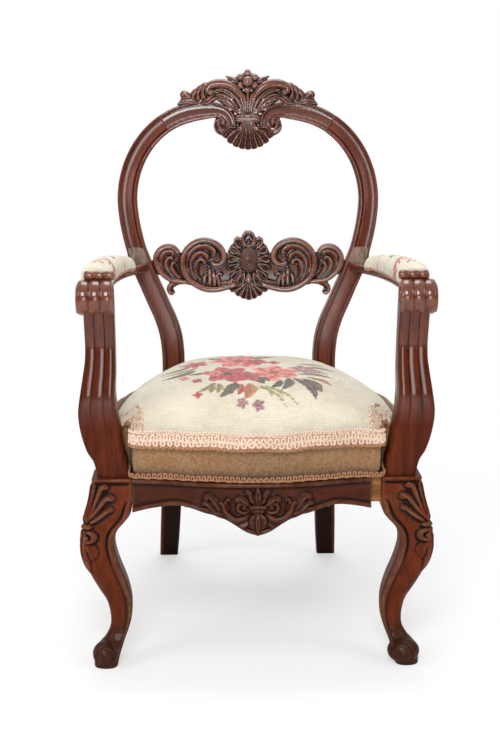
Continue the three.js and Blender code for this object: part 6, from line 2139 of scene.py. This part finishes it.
@dataclass
class Seat:
    """Stuffed seat with its braid and gimp.

    Attributes:
        edge: Height of the seat's sides.
        crown: Height of the dome over them.
        front_half: Half the width between the arm supports.
        support_clear: Room left for an arm support, front to back.
        cover_foot: Height at which the needlework begins over the boxing.
        braid_wide: Width of the braid.
        turn_over: How far the braid turns in on to the dome at the arm supports.
        square: How square the dome is in the plan.
        cover: The finished cover, on which the braid is laid.
    """

    edge: float = 66.0
    crown: float = 77.0
    front_half: float = 214.0
    support_clear: float = 52.0
    cover_foot: float = 394.0
    braid_wide: float = 28.5
    turn_over: float = 22.0
    square: float = 3.2
    cover: BVHTree | None = None
    CROWN: Rows = (
        (0, 1), (0.2, 1), (0.45, 0.96), (0.65, 0.85), (0.78, 0.7), (0.89, 0.5), (0.96, 0.31), (0.99, 0.16),
        (1, 0), (2, 0),
    )

    @property
    def middle(self) -> float:
        """Middle of the seat, front to back."""
        return (LINES.waist_reach - LINES.corner_reach) / 2

    def notch(self) -> float:
        """How far back the cut-out for an arm support reaches."""
        return Arms().support_y(0.25) + self.support_clear / 2

    def plan(self) -> list[Point2]:
        """Outline of the seat seen from above."""
        inner = LINES.post_half_span - LINES.post_wide / 2
        rail_back = LINES.waist_reach + (LINES.post_deep + LINES.rail_thick) / 2
        end = LINES.waist_reach - 0.3
        notch, half = self.notch(), self.front_half

        def side(y: float) -> float:
            """Outer side of the seat."""
            return LINES.side_centre(y) + LINES.rail_thick / 2

        right = [
            *[(x, LINES.seat_front(x) + 0.3) for x in steps(20, 0, half * 0.97)],
            (half, LINES.seat_front(half) + 8), (half, (notch - LINES.corner_reach) / 2),
            (half + 4, notch - 4), (half + 16, notch), (side(notch) - 4, notch),
            *[(side(y), y) for y in steps(12, notch + 8, end - 4)],
            (inner + 4, end - 0.3), (inner - 0.6, end + 4), (inner - 0.6, rail_back - 4),
            (inner * 0.5, rail_back - 0.3),
        ]
        return [*right, (0, rail_back - 0.3), *[(-x, y) for x, y in reversed(right[1:])]]

    def rise(self, x: float, y: float) -> float:
        """How far the dome stands over the seat's sides at a place in the plan."""
        wide = LINES.side_centre(y) + LINES.rail_thick / 2
        deep = LINES.corner_reach + self.middle + 4
        share = abs(x / wide) ** self.square + abs((y - self.middle) / deep) ** self.square
        return (self.crown - 4) * along(self.CROWN, share ** (1 / self.square))

    def build_cushion(self, finishes: Finishes) -> None:
        """Make the stuffed seat."""
        plan = self.plan()
        base = LINES.rail_top + 0.5
        wide, deep = max(x for x, _ in plan), max(abs(y - self.middle) for _, y in plan)

        def ring(scale: float, z: float, up: float = 1.0) -> Ring:
            """The plan drawn in to a share of its size, and rounder the further it is drawn in."""
            soft = 1 - ease(0.55, 0.99, scale)
            found = []
            for x, y in plan:
                dx, dy = x, y - self.middle
                super_share = (abs(dx / wide) ** 2.5 + abs(dy / deep) ** 2.5) ** (1 / 2.5)
                size = scale * (1 + soft * (1 / super_share - 1))
                found.append((dx * size, self.middle + dy * size,
                              z + up * self.rise(dx * size, self.middle + dy * size)))
            return found

        rings = [ring(0.99, base, 0), ring(0.996, base + 10, 0), ring(0.998, base + 33, 0),
                 ring(0.996, base + 56, 0.5),
                 *[ring(share * 0.992, base + self.edge - 3)
                   for share in (1, 0.985, 0.965, 0.93, 0.88, 0.8, 0.7, 0.58, 0.45, 0.32, 0.2, 0.1, 0.03)]]
        seat = puff(grow("seat_stuffed", rings), 6.0, 4.0, 8.0)
        edit(seat, "DESELECT")
        work = bmesh.from_edit_mesh(seat.data)
        for face in work.faces:
            spot = face.calc_center_median()
            face.select_set(abs(spot.x) < 168 and -200 < spot.y < 125 and spot.z > 430)
        bmesh.update_edit_mesh(seat.data)
        bpy.ops.mesh.subdivide(number_cuts=1, smoothness=0.0)
        leave()
        spots = points_of(seat.data)
        foot = self.cover_foot + np.array([self.rise(x, y) for x, y, _ in spots])
        paint(seat, SeatWork().colours(spots, foot))
        self.cover = BVHTree.FromObject(seat, bpy.context.evaluated_depsgraph_get())
        finish(seat, ["seat_cushion"], finishes.needlework, 80)

    def rim(self, z: float, proud: float) -> np.ndarray:
        """Points round the front and sides of the seat at one height, from left to right."""
        plan = self.plan()
        right = plan[:next(i for i, (x, y) in enumerate(plan) if y > LINES.waist_reach - 6)]
        line = np.array(spline([*[(-x, y) for x, y in reversed(right[1:])], *right], 420))
        run = np.gradient(line, axis=0)
        run /= np.linalg.norm(run, axis=1, keepdims=True)
        place = np.arange(len(line))
        wave = 0.5 * np.sin(place * 0.11) + 0.35 * np.sin(place * 0.27 + 1)
        return np.column_stack((line[:, 0] + run[:, 1] * proud, line[:, 1] - run[:, 0] * proud, z + wave))

    def braid_line(self, share: float, proud: float) -> np.ndarray:
        """Line across the braid at a share of its width, turned over on to the dome at the arm supports.

        Args:
            share: 0 at the braid's lower edge, 1 at its upper edge.
            proud: How far it stands off the cover.

        Returns:
            Its points from left to right.
        """
        line = self.rim(0, proud)
        inward = line[:, :2] - self.rim(0, proud + 1)[:, :2]
        front = LINES.seat_front(self.front_half)
        for i, (x, y, wave) in enumerate(line):
            turned = ease(front + 4, front + 30, y) * (1 - ease(self.notch() + 2, self.notch() + 24, y))
            turned *= ease(self.front_half - 12, self.front_half - 2, abs(x))
            across = self.turn_over * share * turned
            x, y = x + inward[i, 0] * across, y + inward[i, 1] * across
            hit = self.cover.ray_cast(Vector((x, y, 700)), Vector((0, 0, -1)))[0]
            lying = (hit.z if hit and hit.z > 400 else 402) + proud + 1
            upright = self.cover_foot + 2.5 * wave + self.rise(*line[i, :2]) + self.braid_wide * share
            line[i] = (x, y, upright + (max(lying, upright - 12) - upright) * turned * share)
        return line

    def trim(self, name: str, low: np.ndarray, high: np.ndarray, share: float, swing: float, pitch: float,
             thick: float) -> bpy.types.Object:
        """A cord that winds in small loops between two lines.

        Args:
            name: Name of the part.
            low: Lower line.
            high: Upper line.
            share: Where it lies between them.
            swing: How far it swings, as a share.
            pitch: Length of one loop.
            thick: Half its thickness.

        Returns:
            The cord, in millimetres.
        """
        at = np.concatenate(([0], np.cumsum(np.linalg.norm(np.diff(low[:, :2], axis=0), axis=1))))
        along_rim = np.linspace(0, at[-1], int(at[-1] / pitch) * 8)
        phase = along_rim / pitch * 2 * math.pi
        spot = np.clip(along_rim + np.sin(2 * phase) * pitch * 0.16, 0, at[-1])
        uneven = 1 + 0.25 * np.sin(along_rim / 17) + 0.2 * np.sin(along_rim / 41)
        up = (share + swing * np.cos(phase) * uneven)[:, None]
        points = np.column_stack([np.interp(spot, at, low[:, k]) for k in range(3)]) * (1 - up)
        points = points + np.column_stack([np.interp(spot, at, high[:, k]) for k in range(3)]) * up
        curve = bpy.data.curves.new(name, "CURVE")
        curve.dimensions = "3D"
        cord = curve.splines.new("POLY")
        cord.points.add(len(points) - 1)
        for point, values in zip(cord.points, points):
            point.co = (*values, 1)
        curve.bevel_depth = thick
        curve.bevel_resolution = 1
        curve.use_fill_caps = True
        item = bpy.data.objects.new(name, curve)
        bpy.context.collection.objects.link(item)
        pick(item)
        bpy.ops.object.convert(target="MESH")
        return bpy.context.active_object

    def build_trim(self, finishes: Finishes) -> None:
        """Make the braid and the gimp."""
        lines = [self.braid_line(share, proud) for share, proud in ((0, -1), (0, 0.9), (1, 0.9), (1, -1))]
        band = grow("braid_ground", [[tuple(spot) for spot in row] for row in zip(*lines)])
        finish(band, [], finishes.band, 80)
        low, high = self.braid_line(0, 1.6), self.braid_line(1, 1.6)
        rows = [self.trim("row", low, high, *row) for row in (
            (0.32, 0.13, 12.5, 1.9), (0.65, 0.125, 11.0, 1.9), (0.95, 0.08, 8.5, 1.6),
            (0.48, 0.03, 12.0, 1.5))]
        finish(join("braid", rows), [], finishes.braid, 80)
        foot, head = self.rim(341, 1.8), self.rim(361, 1.8)
        gimp = [self.trim("gimp", foot, head, 0.2, 0.15, 9.5, 1.7),
                self.trim("gimp", foot, head, 0, 0.02, 20.0, 1.6),
                self.trim("gimp", low, high, 0.08, 0.09, 11.5, 1.7)]
        finish(join("gimp", gimp), [], finishes.gimp, 80)

    def build(self, finishes: Finishes) -> None:
        """Make the seat."""
        self.build_cushion(finishes)
        self.build_trim(finishes)


@dataclass
class HiddenWork:
    """Rails, dowels, blocks, webbing and springs, which keep their own shapes."""

    def dress(self, finishes: Finishes) -> None:
        """Give every node that still shows its finish."""
        for name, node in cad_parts.items():
            if node.hide_render:
                continue
            if name.startswith("spring"):
                material = finishes.wire
            elif name.startswith("web") or name == "hessian":
                material = finishes.jute
            elif name.startswith("side_rail"):
                material = finishes.deep
            elif name == "back_rail":
                material = finishes.across
            else:
                material = finishes.beech
            node.data.materials.clear()
            node.data.materials.append(material)
            LOG.info("%s: dressed", name)


@dataclass
class Studio:
    """Floor, lights and camera.

    Attributes:
        camera_at: Where the camera stands, in metres.
        pitch: Its tilt up from straight down, in degrees.
        yaw: Its turn to the right, in degrees.
        lens: Its focal length in millimetres.
        LAMPS: Name, place, aim, size and power of each lamp.
    """

    camera_at: tuple[float, float, float] = (-0.080, -2.560, 0.985)
    pitch: float = 78.3
    yaw: float = -1.71
    lens: float = 67.2
    LAMPS: ClassVar[tuple[tuple[str, Sequence[float], Sequence[float], float, float], ...]] = (
        ("key", (-0.35, -2.9, 2.3), (0, 0, 0.6), 1.2, 66),
        ("low", (0.1, -2.9, 0.68), (0, 0, 0.5), 0.9, 17),
        ("left", (-2.3, -1.5, 1.8), (0, 0, 0.5), 1.2, 20),
        ("right", (2.3, -1.3, 1.9), (0, 0, 0.5), 1.2, 14),
        ("back", (0.0, 0.6, 2.5), (0, 0, 0.6), 1.2, 26),
    )

    def floor(self) -> None:
        """Lay a plain pale floor that keeps the chair's shadow and is lost in the white further off."""
        bpy.ops.object.select_all(action="DESELECT")
        bpy.ops.mesh.primitive_plane_add(size=14, location=(0, 0, 0))
        floor = bpy.context.active_object
        floor.name = "floor"
        material = bpy.data.materials.new("pale_floor")
        material.use_nodes = True
        graph = Graph(material.node_tree)
        material.node_tree.nodes.clear()
        diffuse = graph.add("ShaderNodeBsdfDiffuse", {"Color": (0.95, 0.95, 0.95, 1)})
        glow = graph.add("ShaderNodeEmission", {"Color": (1, 1, 1, 1), "Strength": 1.0})
        path = graph.add("ShaderNodeLightPath")
        seen = graph.math("MAXIMUM", path.outputs["Is Camera Ray"], path.outputs["Is Transmission Ray"])
        place = graph.add("ShaderNodeTexCoord").outputs["Object"]
        far = graph.add("ShaderNodeVectorMath", {0: place}, operation="LENGTH").outputs["Value"]
        share = graph.math("MULTIPLY", seen, graph.span(far, 0.4, 1.25, 0.45, 1.0))
        both_ways = graph.add("ShaderNodeMixShader", {0: share, 1: diffuse.outputs[0], 2: glow.outputs[0]})
        graph.add("ShaderNodeOutputMaterial", {"Surface": both_ways.outputs[0]})
        floor.data.materials.append(material)

    def lamp(self, name: str, place: Sequence[float], aim: Sequence[float], size: float,
             power: float) -> None:
        """Hang a soft square lamp.

        Args:
            name: Its name.
            place: Where it hangs.
            aim: What it points at.
            size: Side of the lamp.
            power: Its power in watts.
        """
        bpy.ops.object.light_add(type="AREA", location=place)
        lamp = bpy.context.active_object
        lamp.name = name
        lamp.data.shape = "SQUARE"
        lamp.data.size = size
        lamp.data.energy = power
        lamp.rotation_euler = (Vector(aim) - Vector(place)).to_track_quat("-Z", "Y").to_euler()

    def world(self) -> None:
        """Surround the chair with soft light from above and a white background."""
        world = bpy.data.worlds.new("studio")
        bpy.context.scene.world = world
        world.use_nodes = True
        graph = Graph(world.node_tree)
        shade = world.node_tree.nodes["Background"]
        path = graph.add("ShaderNodeLightPath")
        seen = graph.math("MAXIMUM", path.outputs["Is Camera Ray"], path.outputs["Is Transmission Ray"])
        around = graph.add("ShaderNodeTexCoord").outputs["Generated"]
        way = graph.add("ShaderNodeSeparateXYZ", {0: around}).outputs
        sky = graph.span(way["Z"], -0.1, 0.9, 0.18, 0.5)
        mirrored_sky = graph.math("MAXIMUM", graph.span(way["Z"], 0.25, 0.8, 0.1, 1.0),
                                  graph.span(way["Y"], 0.3, 0.8))
        strength = graph.blend(seen, graph.blend(path.outputs["Is Glossy Ray"], sky, mirrored_sky), 1.0)
        shade.inputs["Color"].default_value = (1, 1, 1, 1)
        graph.tree.links.new(strength, shade.inputs["Strength"])

    def build(self) -> None:
        """Set up the studio."""
        self.floor()
        self.world()
        for lamp in self.LAMPS:
            self.lamp(*lamp)
        bpy.ops.object.camera_add(
            location=self.camera_at,
            rotation=(math.radians(self.pitch), 0, math.radians(self.yaw)),
        )
        camera = bpy.context.active_object
        camera.data.lens = self.lens
        camera.data.sensor_width = 36
        bpy.context.scene.camera = camera
        bpy.context.scene.view_settings.view_transform = "Standard"


def main() -> None:
    """Build the chair's looks."""
    logging.basicConfig(level=logging.INFO, format="%(name)s: %(message)s")
    finishes = Finishes()
    for assembly in (BackFrame(), Splat(), FrontFacing(), FrontLegs(), Arms(), Seat()):
        assembly.build(finishes)
    BENCH.clear()
    HiddenWork().dress(finishes)
    Studio().build()
    bpy.ops.object.select_all(action="DESELECT")


if __name__ == "__main__":
    main()
